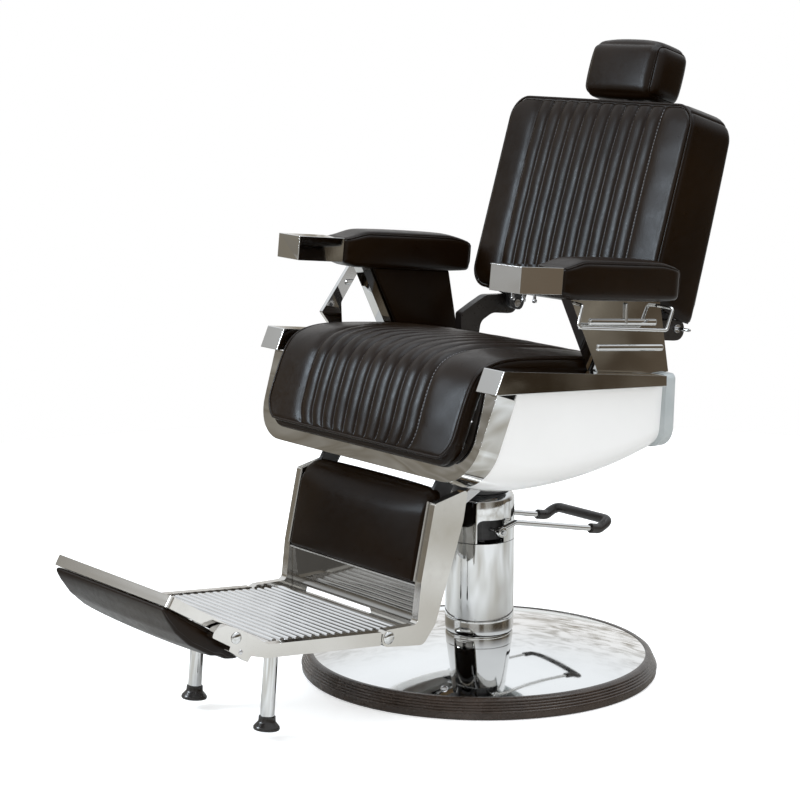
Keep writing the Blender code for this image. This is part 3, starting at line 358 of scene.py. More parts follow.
def fillet(corners, step=7.0):
    """Points round a closed outline. A corner is (a, b), or (a, b, radius) to be rounded."""
    points = []
    for i, (a, b, *radius) in enumerate(corners):
        here = Vector((a, b))
        if not radius or not radius[0]:
            points.append((a, b))
            continue
        before = (Vector(corners[i - 1][:2]) - here).normalized()
        after = (Vector(corners[(i + 1) % len(corners)][:2]) - here).normalized()
        half = before.angle(after) / 2
        reach = radius[0] / math.tan(half)
        middle = here + (before + after).normalized() * radius[0] / math.sin(half)
        start = here + before * reach - middle
        sweep = start.angle_signed(here + after * reach - middle)
        steps = max(2, round(abs(sweep) / math.radians(step)))
        for k in range(steps + 1):
            turn = -sweep * k / steps
            points.append((middle.x + start.x * math.cos(turn) - start.y * math.sin(turn),
                           middle.y + start.x * math.sin(turn) + start.y * math.cos(turn)))
    return points


def circle(a, b, radius, count=32):
    turns = [2 * math.pi * k / count for k in range(count)]
    return [(a + radius * math.cos(t), b + radius * math.sin(t)) for t in turns]


PLANES = {"side": Matrix(((0, 0, 1, 0), (1, 0, 0, 0), (0, 1, 0, 0), (0, 0, 0, 1))),
          "front": turned(90, "X"), "top": Matrix.Identity(4)}


def add_line(data, points, closed):
    spline = data.splines.new("POLY")
    spline.points.add(len(points) - 1)
    for point, place in zip(spline.points, points):
        point.co = (*place, 1)
    spline.use_cyclic_u = closed


def outline(plane, corners, thickness, at=(0, 0, 0), holes=()):
    """A flat outline with thickness, centred on at, with holes right through it."""
    data = bpy.data.curves.new("outline", "CURVE")
    data.dimensions = "2D"
    data.fill_mode = "BOTH"
    data.extrude = thickness / 2
    for points in [fillet(corners), *holes]:
        add_line(data, [(a, b, 0) for a, b in points], True)
    return as_mesh(data, moved(*at) @ PLANES[plane])


def as_mesh(curve, place):
    source = add_object("curve", curve)
    mesh = evaluated_mesh(source)
    mesh.transform(place)
    face_outwards(mesh, weld=0.00001)
    bpy.data.objects.remove(source, do_unlink=True)
    return add_object("solid", mesh)


def bent(corners, count=9):
    """Points along a bent rod. A corner is (x, y, z), or (x, y, z, radius) to be rounded."""
    points = []
    for i, (x, y, z, *radius) in enumerate(corners):
        here = Vector((x, y, z))
        if not radius or not radius[0]:
            points.append(here)
            continue
        before = (Vector(corners[i - 1][:3]) - here).normalized()
        after = (Vector(corners[i + 1][:3]) - here).normalized()
        reach = radius[0] / math.tan(before.angle(after) / 2)
        start, end = here + before * reach, here + after * reach
        for k in range(count + 1):
            t = k / count
            points.append(start * (1 - t) ** 2 + here * 2 * t * (1 - t) + end * t**2)
    return points


def tube(points, radius, closed=False, roundness=6):
    """A round bar along points, with closed ends."""
    data = bpy.data.curves.new("tube", "CURVE")
    data.dimensions = "3D"
    data.bevel_depth = radius
    data.bevel_resolution = roundness
    data.use_fill_caps = not closed
    add_line(data, points, closed)
    obj = as_mesh(data, Matrix.Identity(4))
    soften(obj, 50)
    return obj


def merged(name, parts):
    """One object from several meshes that touch or overlap."""
    work = bmesh.new()
    for part in parts:
        work.from_mesh(part.data)
        bpy.data.objects.remove(part, do_unlink=True)
    mesh = bpy.data.meshes.new(name)
    work.to_mesh(mesh)
    work.free()
    return add_object(name, mesh)


def baked(obj, angle):
    """Puts the modifiers' result in the object's own mesh, and softens it."""
    mesh = evaluated_mesh(obj)
    obj.modifiers.clear()
    obj.data = mesh
    soften(obj, angle)


def cut(obj, cutter):
    cutter.hide_render = cutter.hide_viewport = True
    boolean = obj.modifiers.new("Cut", "BOOLEAN")
    boolean.operation = "DIFFERENCE"
    boolean.solver = "EXACT"
    boolean.object = cutter
    baked(obj, 35.0)
    bpy.data.objects.remove(cutter, do_unlink=True)
    return obj


def crosswise(profile, side, steps, at=(0, 0, 0), closed=False):
    """A turned solid with its axis along X. Its top is on the sitter's left where side is 1."""
    return lathe(profile, closed, steps, at, turned(side * 90, "Y"))


def bolt_head(radius, height, x, y, z, side):
    """A domed head standing out along X from the face at x."""
    profile = [(0, height), (radius * 0.55, height * 0.92), (radius * 0.85, height * 0.62),
               (radius, height * 0.2), (radius, -0.001), (0, -0.001)]
    return crosswise(profile, side, 40, (x, y, z))


def spread(low, high, count, edge, fine):
    """Stations from low to high: fine steps over the edge at each end, even steps between."""
    near = [low + edge * k / fine for k in range(fine)]
    middle = list(np.linspace(low + edge, high - edge, count))
    far = [high - edge * k / fine for k in range(fine)][::-1]
    return np.array(near + middle + far)


def cushion(half, counts, radius, crown, shape=None, warp=None, fine=5, columns=None):
    """A stuffed box: rounded edges, crowned faces. Its top is +Z until warp bends it.

    crown gives the swell of the x, y, top and bottom faces. shape(p, n, unit) returns the extra
    movement along n of each point, and warp(p) the points' last place.
    """
    half = np.array(half)
    axes = [spread(-h, h, c, min(1.3 * radius, 0.4 * h), fine) for h, c in zip(half, counts)]
    if columns is not None:
        axes[0] = columns
    last = [len(a) - 1 for a in axes]
    index, lattice, faces = {}, [], []

    def vertex(i, j, k):
        key = (i, j, k)
        if key not in index:
            index[key] = len(lattice)
            lattice.append(key)
        return index[key]

    for axis in range(3):
        u, v = [a for a in range(3) if a != axis]
        for end in (0, last[axis]):
            for a in range(last[u]):
                for b in range(last[v]):
                    ring = []
                    for da, db in ((0, 0), (1, 0), (1, 1), (0, 1)):
                        key = [0, 0, 0]
                        key[axis], key[u], key[v] = end, a + da, b + db
                        ring.append(vertex(*key))
                    flip = (end == 0) != (axis == 1)
                    faces.append(ring[::-1] if flip else ring)
    lattice = np.array(lattice)
    p = np.stack([axes[a][lattice[:, a]] for a in range(3)], axis=1)
    unit = p / half
    inner = np.clip(p, -(half - radius), half - radius)
    n = p - inner
    n /= np.linalg.norm(n, axis=1, keepdims=True)
    over = swell(unit)
    move = (crown[0] * np.abs(n[:, 0]) * over[:, 1] * over[:, 2]
            + crown[1] * np.abs(n[:, 1]) * over[:, 0] * over[:, 2]
            + (crown[2] * held(n[:, 2]) + crown[3] * held(-n[:, 2])) * over[:, 0] * over[:, 1])
    p = inner + n * radius
    if shape is not None:
        move = move + shape(p, n, unit)
    p = p + n * move[:, None]
    if warp is not None:
        p = warp(p)
    obj = new_mesh("cushion", p, faces)
    face_outwards(obj.data)
    obj.data.shade_smooth()
    return obj


def held(values):
    return np.clip(values, 0, 1)


def rounding(square):
    """How far a circular corner falls away. square runs from 0 at its start to 1 at its end."""
    return 1 - np.sqrt(held(1 - square))


def swell(unit):
    """A crown's height across a face: 1 in the middle and 0 at unit -1 and 1."""
    crown_power = 2.6
    return 1 - np.abs(unit) ** crown_power


def seam_pinch(n, a, b, depth, width=0.22):
    """Pulls in the edge where the faces along axes a and b meet, as a sewn seam does."""
    first, second = np.abs(n[:, a]), np.abs(n[:, b])
    return -depth * np.exp(-((first - second) / width) ** 2) * ((first > 0.3) & (second > 0.3))


# ---------------------------------------------------------------- base and column
def dome_height(radius):
    return 0.0375 + 0.042 * (1 - (radius / DOME_RADIUS) ** 2)


def make_base():
    ring = [(RING_INNER, 0.0383), (0.3235, 0.0387), (0.3275, 0.0378)]
    for k in range(5):
        r, z = 0.3300 + 0.0022 * k, 0.0358 - 0.0047 * k
        ring += [(r, z), (r + 0.0019, z - 0.0012), (r + 0.0024, z - 0.0029),
                 (r + 0.0012, z - 0.0040)]
    ring += [(BASE_RADIUS, 0.0115), (BASE_RADIUS, 0.004), (BASE_RADIUS - 0.003, 0.0003),
             (RING_INNER, 0.0003)]
    piece(lathe(ring, closed=True, steps=256), "bumper_ring", "base", "dark_rubber", "base_ring")
    radii = np.linspace(CYLINDER_RADIUS + 0.001, DOME_RADIUS, 30)
    outer = [(r, dome_height(r)) for r in radii]
    inner = [(r, z - 0.003) for r, z in reversed(outer)]
    dome = lathe(outer + inner, closed=True, steps=256)
    # The dome wears the brighter copy of the chrome, which is painted light
    piece(dome, "dome_cover", "base", "chrome_painted_light", "base_dome")
    for i, angle in enumerate((-52.0, 128.0)):
        turn = math.radians(angle)
        at = (0.295 * math.cos(turn), 0.295 * math.sin(turn), dome_height(0.295))
        head = lathe([(0, 0.0052), (0.0035, 0.0050), (0.0060, 0.0034), (0.0070, 0.0004),
                      (0.007, -0.001), (0, -0.001)], steps=40, at=at)
        for k in (0, 1):
            head = cut(head, slot_cutter(at, turn + k * math.pi / 2))
        piece(head, f"dome_screw_{i + 1}", "base", "brushed_steel")
    foot, bore = dome_height(CYLINDER_RADIUS) + GAP, CYLINDER_RADIUS + GAP
    collar = [(bore, COLLAR_TOP), (0.0646, COLLAR_TOP), (COLUMN_RADIUS, COLLAR_TOP - 0.001),
              (COLUMN_RADIUS, foot + 0.0085), (0.0648, foot + 0.0030), (0.0632, foot), (bore, foot)]
    piece(lathe(collar, closed=True), "collar_ring", "base", "chrome", "column_collar")
    top, low, bore = 0.245, 0.060, RAM_RADIUS + GAP
    cylinder = [(bore, top), (0.051, top), (CYLINDER_RADIUS, top - 0.001), (CYLINDER_RADIUS, low),
                (bore, low)]
    piece(lathe(cylinder, closed=True), "cylinder_tube", "base", "brushed_steel", "pump_cylinder")


def slot_cutter(at, turn):
    bpy.ops.mesh.primitive_cube_add(size=1)
    obj = bpy.context.object
    size = Matrix.Diagonal((0.0085, 0.0014, 0.004, 1))
    obj.data.transform(moved(*at[:2], at[2] + 0.0052) @ Matrix.Rotation(turn, 4, "Z") @ size)
    return obj


def make_column():
    sleeve = [(SLEEVE_BORE, SLEEVE_TOP), (0.0652, SLEEVE_TOP), (COLUMN_RADIUS, SLEEVE_TOP - 0.0006),
              (COLUMN_RADIUS, COLLAR_TOP + 0.0014), (0.0650, COLLAR_TOP + 0.0005),
              (SLEEVE_BORE, COLLAR_TOP + 0.0005)]
    piece(lathe(sleeve, closed=True), "sleeve_tube", "seat", "chrome", "column_sleeve")
    foot = SLEEVE_TOP + 0.0006
    bore, flat, radius = RAM_RADIUS + 0.001, 0.0500, 0.0157
    shoulder = [(flat, HEAD_TOP)]
    for turn in map(math.radians, range(15, 91, 15)):
        shoulder.append((flat + radius * math.sin(turn), HEAD_TOP - radius * (1 - math.cos(turn))))
    head = lathe([(bore, HEAD_TOP), *shoulder, (COLUMN_RADIUS, foot + 0.0006), (0.0652, foot),
                  (SLEEVE_BORE, foot), (SLEEVE_BORE, HEAD_TOP - 0.0165),
                  (0.053, HEAD_TOP - 0.006), (bore, HEAD_TOP - 0.006)], closed=True)
    arch = [(-0.046, foot - 0.01), (0.004, foot - 0.01), (0.004, 0.303, 0.004),
            (-0.046, 0.303, 0.010)]
    piece(cut(head, outline("side", arch, 0.16)), "head_cap", "seat", "chrome", "pump_head")
    ram = [(0, 0.385), (0.026, 0.385), (RAM_RADIUS, 0.381), (RAM_RADIUS, 0.0505), (0, 0.0505)]
    piece(lathe(ram), "ram_tube", "ram", "chrome", "ram_rod")
    low, bore = HEAD_TOP + 0.0004, RAM_RADIUS + 0.0005
    hub = [(0, HUB_TOP), (0.050, HUB_TOP), (0.0535, HUB_TOP - 0.0015), (0.055, HUB_TOP - 0.005),
           (0.055, HEAD_TOP + 0.0012), (0.0542, low), (bore, low), (bore, 0.3895), (0, 0.3895)]
    piece(lathe(hub), "hub_socket", "seat", "painted_steel", "seat_hub")
    for ending, side in SIDES:
        stub = crosswise([(0, 0.089), (0.0035, 0.089), (0.0042, 0.0882), (0.0042, 0.045),
                          (0, 0.045)], side, 32, LEVER_AT)
        piece(stub, f"lever_stub_{ending}", "seat", "brushed_steel")


def make_lever():
    half = 0.0775
    _, y0, z0 = LEVER_AT

    def loop(start):
        side = [(half, *p) for p in start]
        side += [(half, 0.236, 0.2545, 0.02), (half, 0.264, 0.2675, 0.016)]
        return bent(side + [(-x, *rest) for x, *rest in reversed(side)], 10)

    rod = tube(loop([(y0 + 0.002, z0 + 0.004), (0.022, 0.2965, 0.012), (0.214, 0.2585)]), 0.0056,
               roundness=7)
    ring = [(0.0048, 0.0845), (0.0090, 0.0845), (0.0098, 0.0837), (0.0098, 0.0693),
            (0.0090, 0.0685), (0.0048, 0.0685)]
    bosses = [crosswise(ring, side, 48, LEVER_AT, closed=True) for _, side in SIDES]
    fork = merged("lever_rod", [rod, *bosses])
    piece(fork, "lever_rod", "pump_lever", "chrome", "lever_fork")
    soften(fork, 50)
    grip = tube(loop([(0.2135, 0.2587)]), 0.0098, roundness=7)
    bevel(grip, 0.0022)
    piece(grip, "lever_handle", "pump_lever", "black_plastic", "lever_grip")


# ---------------------------------------------------------------- seat
APRON_Y, APRON_Z, APRON_LEAN, APRON_THICK = -0.244, 0.594, 18.8, 0.045
APRON = moved(0, APRON_Y, APRON_Z) @ turned(-APRON_LEAN, "X")
# The side bands' top and foot lines, as (y, z) of their two ends
BAND_TOP = ((-0.244, 0.645), (0.142, 0.600))
BAND_FOOT = ((-0.262, 0.605), (0.142, 0.581))
TUB_REAR, SHELL_ROWS, SHELL_THICK = 0.1530, 28, 0.003


def along(start, end, y):
    """The height at y of the line from start to end."""
    return start[1] + (end[1] - start[1]) * (y - start[0]) / (end[0] - start[0])


def apron_rear(z):
    lean = math.radians(APRON_LEAN)
    return APRON_Y + APRON_THICK / math.cos(lean) + (z - APRON_Z) * math.tan(lean)


def make_apron():
    """The chromed front frame, a U that is open at the top."""
    top, foot, out_top, out_foot = 0.0075, -0.1594, 0.331, 0.318
    inner = foot + 0.028
    shape = [(out_top, top), (out_foot, foot, 0.078), (-out_foot, foot, 0.078), (-out_top, top),
             (-0.289, top), (-0.279, inner, 0.050), (0.279, inner, 0.050), (0.289, top)]
    apron = outline("front", shape, APRON_THICK, (0, APRON_THICK / 2, 0))
    piece(apron, "apron_frame", "seat", "plated", "front_apron", APRON, edge=0.0016)


def shell_section(share, drop):
    """A side shell's section at share of the way to the rear. drop steps round its lower corner."""
    y_top = (1 - share) * apron_rear(0.60) + share * TUB_REAR
    top = along(*BAND_FOOT, y_top) - 0.0012
    y_foot = (1 - share) * apron_rear(0.44) + share * TUB_REAR
    # The foot line is lowest at lowest_y and rises faster ahead of it than behind.
    lowest_y, lowest_z = -0.13, 0.410
    foot = lowest_z + (1.38 if y_foot < lowest_y else 0.61) * (y_foot - lowest_y) ** 2
    half_top, half_low = 0.3295, 0.318 + 0.006 * share
    radius = 0.078 * (1 - share) + 0.045 * share
    points = [(half_top, top)]
    for k in range(1, 6):
        t = k / 6
        points.append((half_top + (half_low - half_top) * t, top + (foot + radius - top) * t))
    for k in range(drop + 1):
        turn = math.pi / 2 * k / drop
        points.append((half_low - radius * (1 - math.cos(turn)),
                       foot + radius * (1 - math.sin(turn))))
    return points + [(0.255, foot), (0.235, foot)]


def make_shells():
    for ending, side in SIDES:
        points, faces, rows = [], [], []
        for i in range(SHELL_ROWS + 1):
            share = i / SHELL_ROWS
            row = []
            for x, z in shell_section(share, 18):
                y = (1 - share) * (apron_rear(z) + GAP) + share * TUB_REAR
                row.append(len(points))
                points.append((side * x, y, z))
            rows.append(row)
        for low, high in zip(rows, rows[1:]):
            for a, b, c, d in zip(low, low[1:], high[1:], high):
                faces.append((a, b, c, d) if side > 0 else (d, c, b, a))
        shell = new_mesh("shell", points, faces)
        outward = sum(f.normal.x * f.area for f in shell.data.polygons) * side > 0
        sheet = shell.modifiers.new("Sheet", "SOLIDIFY")
        sheet.thickness = SHELL_THICK
        sheet.offset = -1.0 if outward else 1.0
        baked(shell, 40.0)
        piece(shell, f"tub_{ending}", "seat", "white_gloss", f"side_shell_{ending}")


def make_trim():
    top, foot, half, thick = 0.5995, 0.461, 0.339, 0.0225
    opening, shoulder = 0.300, 0.215
    shape = [(half, top, 0.010), (half - 0.004, foot, 0.040), (-half + 0.004, foot, 0.040),
             (-half, top, 0.010), (-shoulder, top), (-shoulder, 0.575, 0.004),
             (-opening, 0.565, 0.012), (-opening, 0.492, 0.015), (opening, 0.492, 0.015),
             (opening, 0.565, 0.012), (shoulder, 0.575, 0.004), (shoulder, top)]
    trim = outline("front", shape, thick, (0, TUB_REAR + GAP + thick / 2, 0))
    piece(trim, "rear_frame", "seat", "grey_trim", "rear_trim", edge=0.004)


def make_hinge_arms():
    _, y, z = HINGE
    shape = [(0.146, 0.5998), (0.184, 0.5998, 0.012), (0.190, 0.631, 0.02),
             (0.220, z - 0.018, 0.03), (y - 0.006, z - 0.0225, 0.012),
             (y + 0.0195, z - 0.0225, 0.0180), (y + 0.0195, z + 0.0150, 0.0170),
             (0.204, z + 0.0190, 0.03), (0.172, z + 0.004, 0.03), (0.139, 0.651, 0.006),
             (0.139, 0.625)]
    for ending, side in SIDES:
        arm = outline("side", shape, 0.0185, (side * 0.2385, 0, 0), [circle(y, z, 0.0085)])
        piece(arm, f"hinge_casting_{ending}", "seat", "black_plastic", f"hinge_arm_{ending}",
              edge=0.0045)


ARM_LENGTH, ARM_UNDER = 0.3114, -0.0337


def arm_profile(t):
    """The arm pad at share t of its length: half its width, its top, and the fall of its rear."""
    rise = held(t / 0.20)
    rise = rise * rise * (3 - 2 * rise)
    fall = held((t - 0.80) / 0.20) ** 1.6
    end = held((t * ARM_LENGTH - (ARM_LENGTH - 0.026)) / 0.026)
    width = 0.0378 - 0.0018 * t + 0.0022 * np.sin(math.pi * held(t / 0.9))
    width = width - 0.012 * rounding(0.96 * end**2)
    return width, 0.0238 + 0.0125 * rise - 0.0115 * fall, fall


def make_arms():
    def warp(p):
        y = p[:, 1] + ARM_LENGTH / 2
        t = held(y / ARM_LENGTH)
        width, top, fall = arm_profile(t)
        low = -0.0235 - 0.0088 * held(t / 0.10) + 0.003 * fall
        share = (p[:, 2] + 0.03) / 0.06
        return np.stack([p[:, 0] * width / 0.0375, y + 0.0004, low + (top - low) * share], axis=1)

    def shape(p, n, unit):
        near_front = held((unit[:, 1] + 1) / 0.12)
        return (seam_pinch(n, 0, 2, 0.0016) * (n[:, 2] > 0)
                - 0.0016 * (1 - near_front) * np.abs(n[:, 0])
                + 0.0005 * np.sin(p[:, 2] * 210) * np.exp(-((unit[:, 1] + 0.94) / 0.06) ** 2))

    for ending, side in SIDES:
        pad = cushion((0.0375, 0.1557, 0.030), (14, 56, 12), 0.0095, (0.0030, 0.001, 0.0050, 0.001),
                      shape, warp)
        piece(pad, f"armrest_{ending}", "seat", "black_leather", f"arm_pad_{ending}",
              arm_frame(side))
        make_arm_welts(ending, side)
        make_post(ending, side)


def make_arm_welts(ending, side):
    """Welts on the top's outer and inner seams, each of which runs on down the rear corner."""
    for name, hand in (("outer", side), ("inner", -side)):
        path = []
        for k in range(41):
            t = 0.02 + 0.955 * k / 40
            width, top, _ = arm_profile(t)
            path.append(Vector((hand * (width - 0.0020), ARM_LENGTH * t, top - 0.0030)))
        x, y, z = path[-1]
        path += [Vector((x * share, y + back, z - drop)) for share, back, drop in (
            (0.985, 0.0035, 0.004), (0.98, 0.0042, 0.016), (0.98, 0.0042, 0.036),
            (0.975, 0.002, 0.044))]
        piece(tube(path, 0.0013, roundness=3), f"armrest_welt_{name}_{ending}", "seat",
              "black_leather", at=arm_frame(side))


def arm_point(along_arm, height):
    """The (y, z) of a place on the arm, from its front end and the middle of its height."""
    drop = math.radians(5.5)
    return (-0.115 + along_arm * math.cos(drop) + height * math.sin(drop),
            0.7895 - along_arm * math.sin(drop) + height * math.cos(drop))


def make_post(ending, side):
    front, rear = arm_point(0.0555, ARM_UNDER), arm_point(0.273, ARM_UNDER)
    on_band = [(y, along(*BAND_TOP, y) + 0.0004) for y in (0.141, 0.003)]
    shape = [front, rear, (0.178, 0.6004), (0.1715, 0.6004), *on_band]
    post = outline("side", shape, 0.027, (side * 0.304, 0, 0))
    piece(post, f"pillar_{ending}", "seat", "chrome", f"arm_post_{ending}", edge=0.0014)
    for name, y, z, half in (("upper", 0.062, 0.7010, 0.083), ("lower", 0.081, 0.6530, 0.082)):
        rib = cushion((0.0046, half, 0.0062), (3, 30, 3), 0.0045, (0, 0, 0, 0), fine=4)
        place = moved(side * 0.3172, y, z) @ turned(-5.0, "X")
        piece(rib, f"pillar_rib_{name}_{ending}", "seat", "chrome", at=place)

    # The panel's corners: upper front and rear, then lower rear and front.
    corners = [arm_point(0.0795, ARM_UNDER), arm_point(0.269, ARM_UNDER), (0.174, 0.6005),
               (0.027, along(*BAND_TOP, 0.027))]
    wide, high = 0.09, 0.07

    def panel_warp(p):
        u = (p[:, 0] / wide + 1)[:, None] / 2
        v = (p[:, 1] / high + 1)[:, None] / 2
        a, b, c, d = (np.array(q) for q in corners)
        yz = (d * (1 - u) + c * u) * (1 - v) + (a * (1 - u) + b * u) * v
        return np.stack([side * (0.2858 - p[:, 2]), yz[:, 0], yz[:, 1] + 0.0004], axis=1)

    panel = cushion((wide, high, 0.0044), (20, 16, 3), 0.0030, (0, 0, 0.0012, 0), None, panel_warp,
                    fine=3)
    piece(panel, f"pillar_panel_{ending}", "seat", "black_leather", f"arm_panel_{ending}")


def make_towel_rail():
    x_in, x_out = 0.3191, 0.352
    path = [(x_in, -0.054, 0.7440), (x_out - 0.004, -0.064, 0.7440, 0.007),
            (x_out, -0.0775, 0.7060, 0.007), (x_out, 0.1375, 0.6835, 0.007),
            (x_out - 0.002, 0.1545, 0.7215, 0.007), (x_in, 0.1465, 0.7240)]
    piece(tube(bent(path), 0.0030), "rail_wire", "seat", "chrome", "towel_rail")
    stub = lathe([(0, 0.037), (0.0018, 0.0366), (0.0029, 0.0345), (0.0029, -0.0005), (0, -0.0005)],
                 steps=32, at=(0.3200, 0.0675, 0.6985))
    piece(stub, "rail_stub", "seat", "chrome")


def make_release():
    y, z = -0.073, 0.609
    shape = [(-0.0385, 0.750, 0.002), (-0.109, 0.6595, 0.003), (y - 0.0135, 0.630, 0.01),
             (y - 0.0135, z - 0.0135, 0.013), (y + 0.0135, z - 0.0135, 0.013),
             (y + 0.0135, 0.632, 0.01), (-0.0615, 0.6755, 0.012), (-0.0195, 0.733, 0.002)]
    lever = outline("side", shape, 0.009, (-0.3645, 0, 0), [circle(y, z, 0.0055)])
    piece(lever, "release_handle", "release", "chrome", "release_lever", edge=0.0012)


# ---------------------------------------------------------------- fluted cushions
PITCH, STITCH_PITCH = 0.0343, 0.0066
SEAMS = [PITCH * (k - 5) for k in range(11)]
BACK_HALF, BACK_LOW, BACK_HIGH, BACK_DEPTH, BACK_CORNER = 0.2555, 0.013, 0.405, 0.096, 0.044


def seam_columns(half, radius, per_flute=12, margin=12, fine=5):
    """Stations across a fluted cushion, with one on each seam and more close to it."""
    edge = min(1.3 * radius, 0.4 * half)
    side = [-half + edge * k / fine for k in range(fine)]
    share = np.linspace(0, 1, margin, endpoint=False) ** 0.8
    side += list(-half + edge + (SEAMS[0] + half - edge) * share)
    across = np.linspace(-1, 1, per_flute, endpoint=False)
    across = np.sign(across) * (1 - (1 - np.abs(across)) ** 1.25)
    middle = [seam + PITCH * (1 + a) / 2 for seam in SEAMS[:-1] for a in across]
    return np.array(side + middle + [SEAMS[-1]] + [-x for x in reversed(side)])


def flutes(x, depth, margin=0.020):
    """How far the cover lies under its crown at x: full depth at a seam, nothing between."""
    first, last = SEAMS[0], SEAMS[-1]
    t = (x - first) / PITCH + 1e-7
    across = 2 * (t - np.floor(t)) - 1
    inside = depth * rounding(0.985 * across**2)
    away = np.where(x < first, first - x, x - last)
    outside = depth * np.exp(-np.clip(away, 0, None) / margin * 2.2)
    return np.where((x >= first) & (x <= last + 1e-6), inside, outside)


def curve_frame(points, count=200):
    """Even stations on a smooth line through (y, z) points, with their places and tangents."""
    pts = np.array(points, float)
    dense = []
    ext = np.vstack([2 * pts[0] - pts[1], pts, 2 * pts[-1] - pts[-2]])
    for i in range(1, len(ext) - 2):
        p0, p1, p2, p3 = ext[i - 1:i + 3]
        for t in np.linspace(0, 1, 24, endpoint=False):
            dense.append(0.5 * (2 * p1 + (p2 - p0) * t + (2 * p0 - 5 * p1 + 4 * p2 - p3) * t**2
                                + (3 * p1 - p0 - 3 * p2 + p3) * t**3))
    dense.append(pts[-1])
    dense = np.array(dense)
    s = np.concatenate([[0], np.cumsum(np.linalg.norm(np.diff(dense, axis=0), axis=1))])
    even = np.linspace(0, s[-1], count)
    place = np.stack([np.interp(even, s, dense[:, k]) for k in (0, 1)], axis=1)
    tangent = np.gradient(place, axis=0)
    tangent /= np.linalg.norm(tangent, axis=1, keepdims=True)
    return even, place, tangent


SEAT_LINE = [(0.135, 0.6180), (0.08, 0.6275), (0.0, 0.6385), (-0.10, 0.6475), (-0.165, 0.6505),
             (-0.205, 0.6465), (-0.232, 0.6365), (-0.250, 0.6200), (-0.264, 0.5955),
             (-0.277, 0.5650), (-0.289, 0.5335), (-0.2985, 0.5070), (-0.3065, 0.4840)]
SEAT_HALF, SEAT_THICK, SEAT_CORNER = 0.2795, 0.030, 0.050


class Bend:
    """Bends a flat cushion, whose length lies along Y, over a line in the (y, z) plane."""

    def __init__(self, line):
        self.s, self.place, self.tangent = curve_frame(line)
        self.length = self.s[-1]

    def __call__(self, x, along_line, above):
        s = np.clip(along_line, 0, self.length)
        y, z = (np.interp(s, self.s, self.place[:, k]) for k in (0, 1))
        ty, tz = (np.interp(s, self.s, self.tangent[:, k]) for k in (0, 1))
        extra = along_line - s
        # The line runs forward and down, so its upper side is to the right of its tangent.
        return np.stack([x, y + ty * extra + tz * above, z + tz * extra - ty * above], axis=1)


def fluted(p, n, half_length, fade_over, depth, waves):
    """Flutes along Y on the top face, shallower at both ends, and a faint ripple."""
    x, y, top = p[:, 0], p[:, 1], held(n[:, 2])
    fade = held((half_length - np.abs(y)) / fade_over)
    ripple = 0.0003 * np.sin(y * waves[0] + x * waves[1]) * np.sin(x * waves[2] - y * waves[3])
    return ripple * top - flutes(x, depth) * top * (0.25 + 0.75 * fade)


def laid_on(warp, x, y, above):
    """Places over a cushion, above its uncrowned top, once it is warped."""
    return [Vector(q) for q in warp(np.stack([x, y, above], axis=1))]


def stitched_seams(warp, half_width, half_length, half_thick, crown, depth):
    lines = []
    for x in SEAMS:
        y = np.arange(0.012 - half_length, half_length - 0.010, STITCH_PITCH)
        above = crown * (swell(x / half_width) * swell(y / half_length)) - depth
        lines.append(laid_on(warp, np.full_like(y, x), y, above + half_thick))
    return stitches(lines)


def make_seat():
    bend = Bend(SEAT_LINE)
    half, top = bend.length / 2, SEAT_THICK / 2

    def narrowed(x, s, length):
        """Rounds the two corners at the line's end, seen from above."""
        into = held((s - (length - SEAT_CORNER)) / SEAT_CORNER)
        return x * (1 - SEAT_CORNER / SEAT_HALF * rounding((0.97 * into) ** 2))

    def shape(p, n, unit):
        return (fluted(p, n, half, 0.012, 0.0068, (95, 37, 61, 23)) + seam_pinch(n, 0, 2, 0.002))

    def warp(p):
        s = p[:, 1] + half
        return bend(narrowed(p[:, 0], s, bend.length), s, p[:, 2] - top)

    seat = cushion((SEAT_HALF, half, top), (9, 90, 3), 0.010, (0.002, 0.001, 0.0115, 0.0), shape,
                   warp, columns=seam_columns(SEAT_HALF, 0.010))
    piece(seat, "seat_pad", "seat", "black_leather", "seat_cushion")

    # The boxing under the sewn top, which fills the apron's mouth.
    under = Bend(SEAT_LINE[:-1] + [(-0.3010, 0.4685)])

    def boxing_warp(p):
        s = p[:, 1] + under.length / 2
        return under(narrowed(p[:, 0], s, under.length), s, p[:, 2] - 0.0180)

    boxing = cushion((SEAT_HALF - 0.0028, under.length / 2, 0.0130), (40, 60, 6), 0.007,
                     (0.001, 0.0, 0.0, 0.0), None, boxing_warp)
    piece(boxing, "seat_boxing", "seat", "black_leather")
    seams = stitched_seams(warp, SEAT_HALF, half, top, 0.0115, 0.0056)
    piece(seams, "seat_stitching", "seat", "thread")
    # Welt round the cover's edge: down one side, across the front and up the other side.
    y = np.linspace(0.0, bend.length - 0.004, 90) - half
    edge = laid_on(warp, np.full_like(y, SEAT_HALF - 0.0022), y, np.full_like(y, top - 0.0016))
    x = np.linspace(SEAT_HALF, 0, 40) * 0.985
    front = laid_on(warp, x, np.full_like(x, half - 0.003), np.full_like(x, top - 0.0016))
    path = edge + front[2:]
    path += [Vector((-q.x, q.y, q.z)) for q in reversed(path[:-1])]
    piece(tube(path, 0.0027, roundness=4), "seat_welt", "seat", "black_leather")


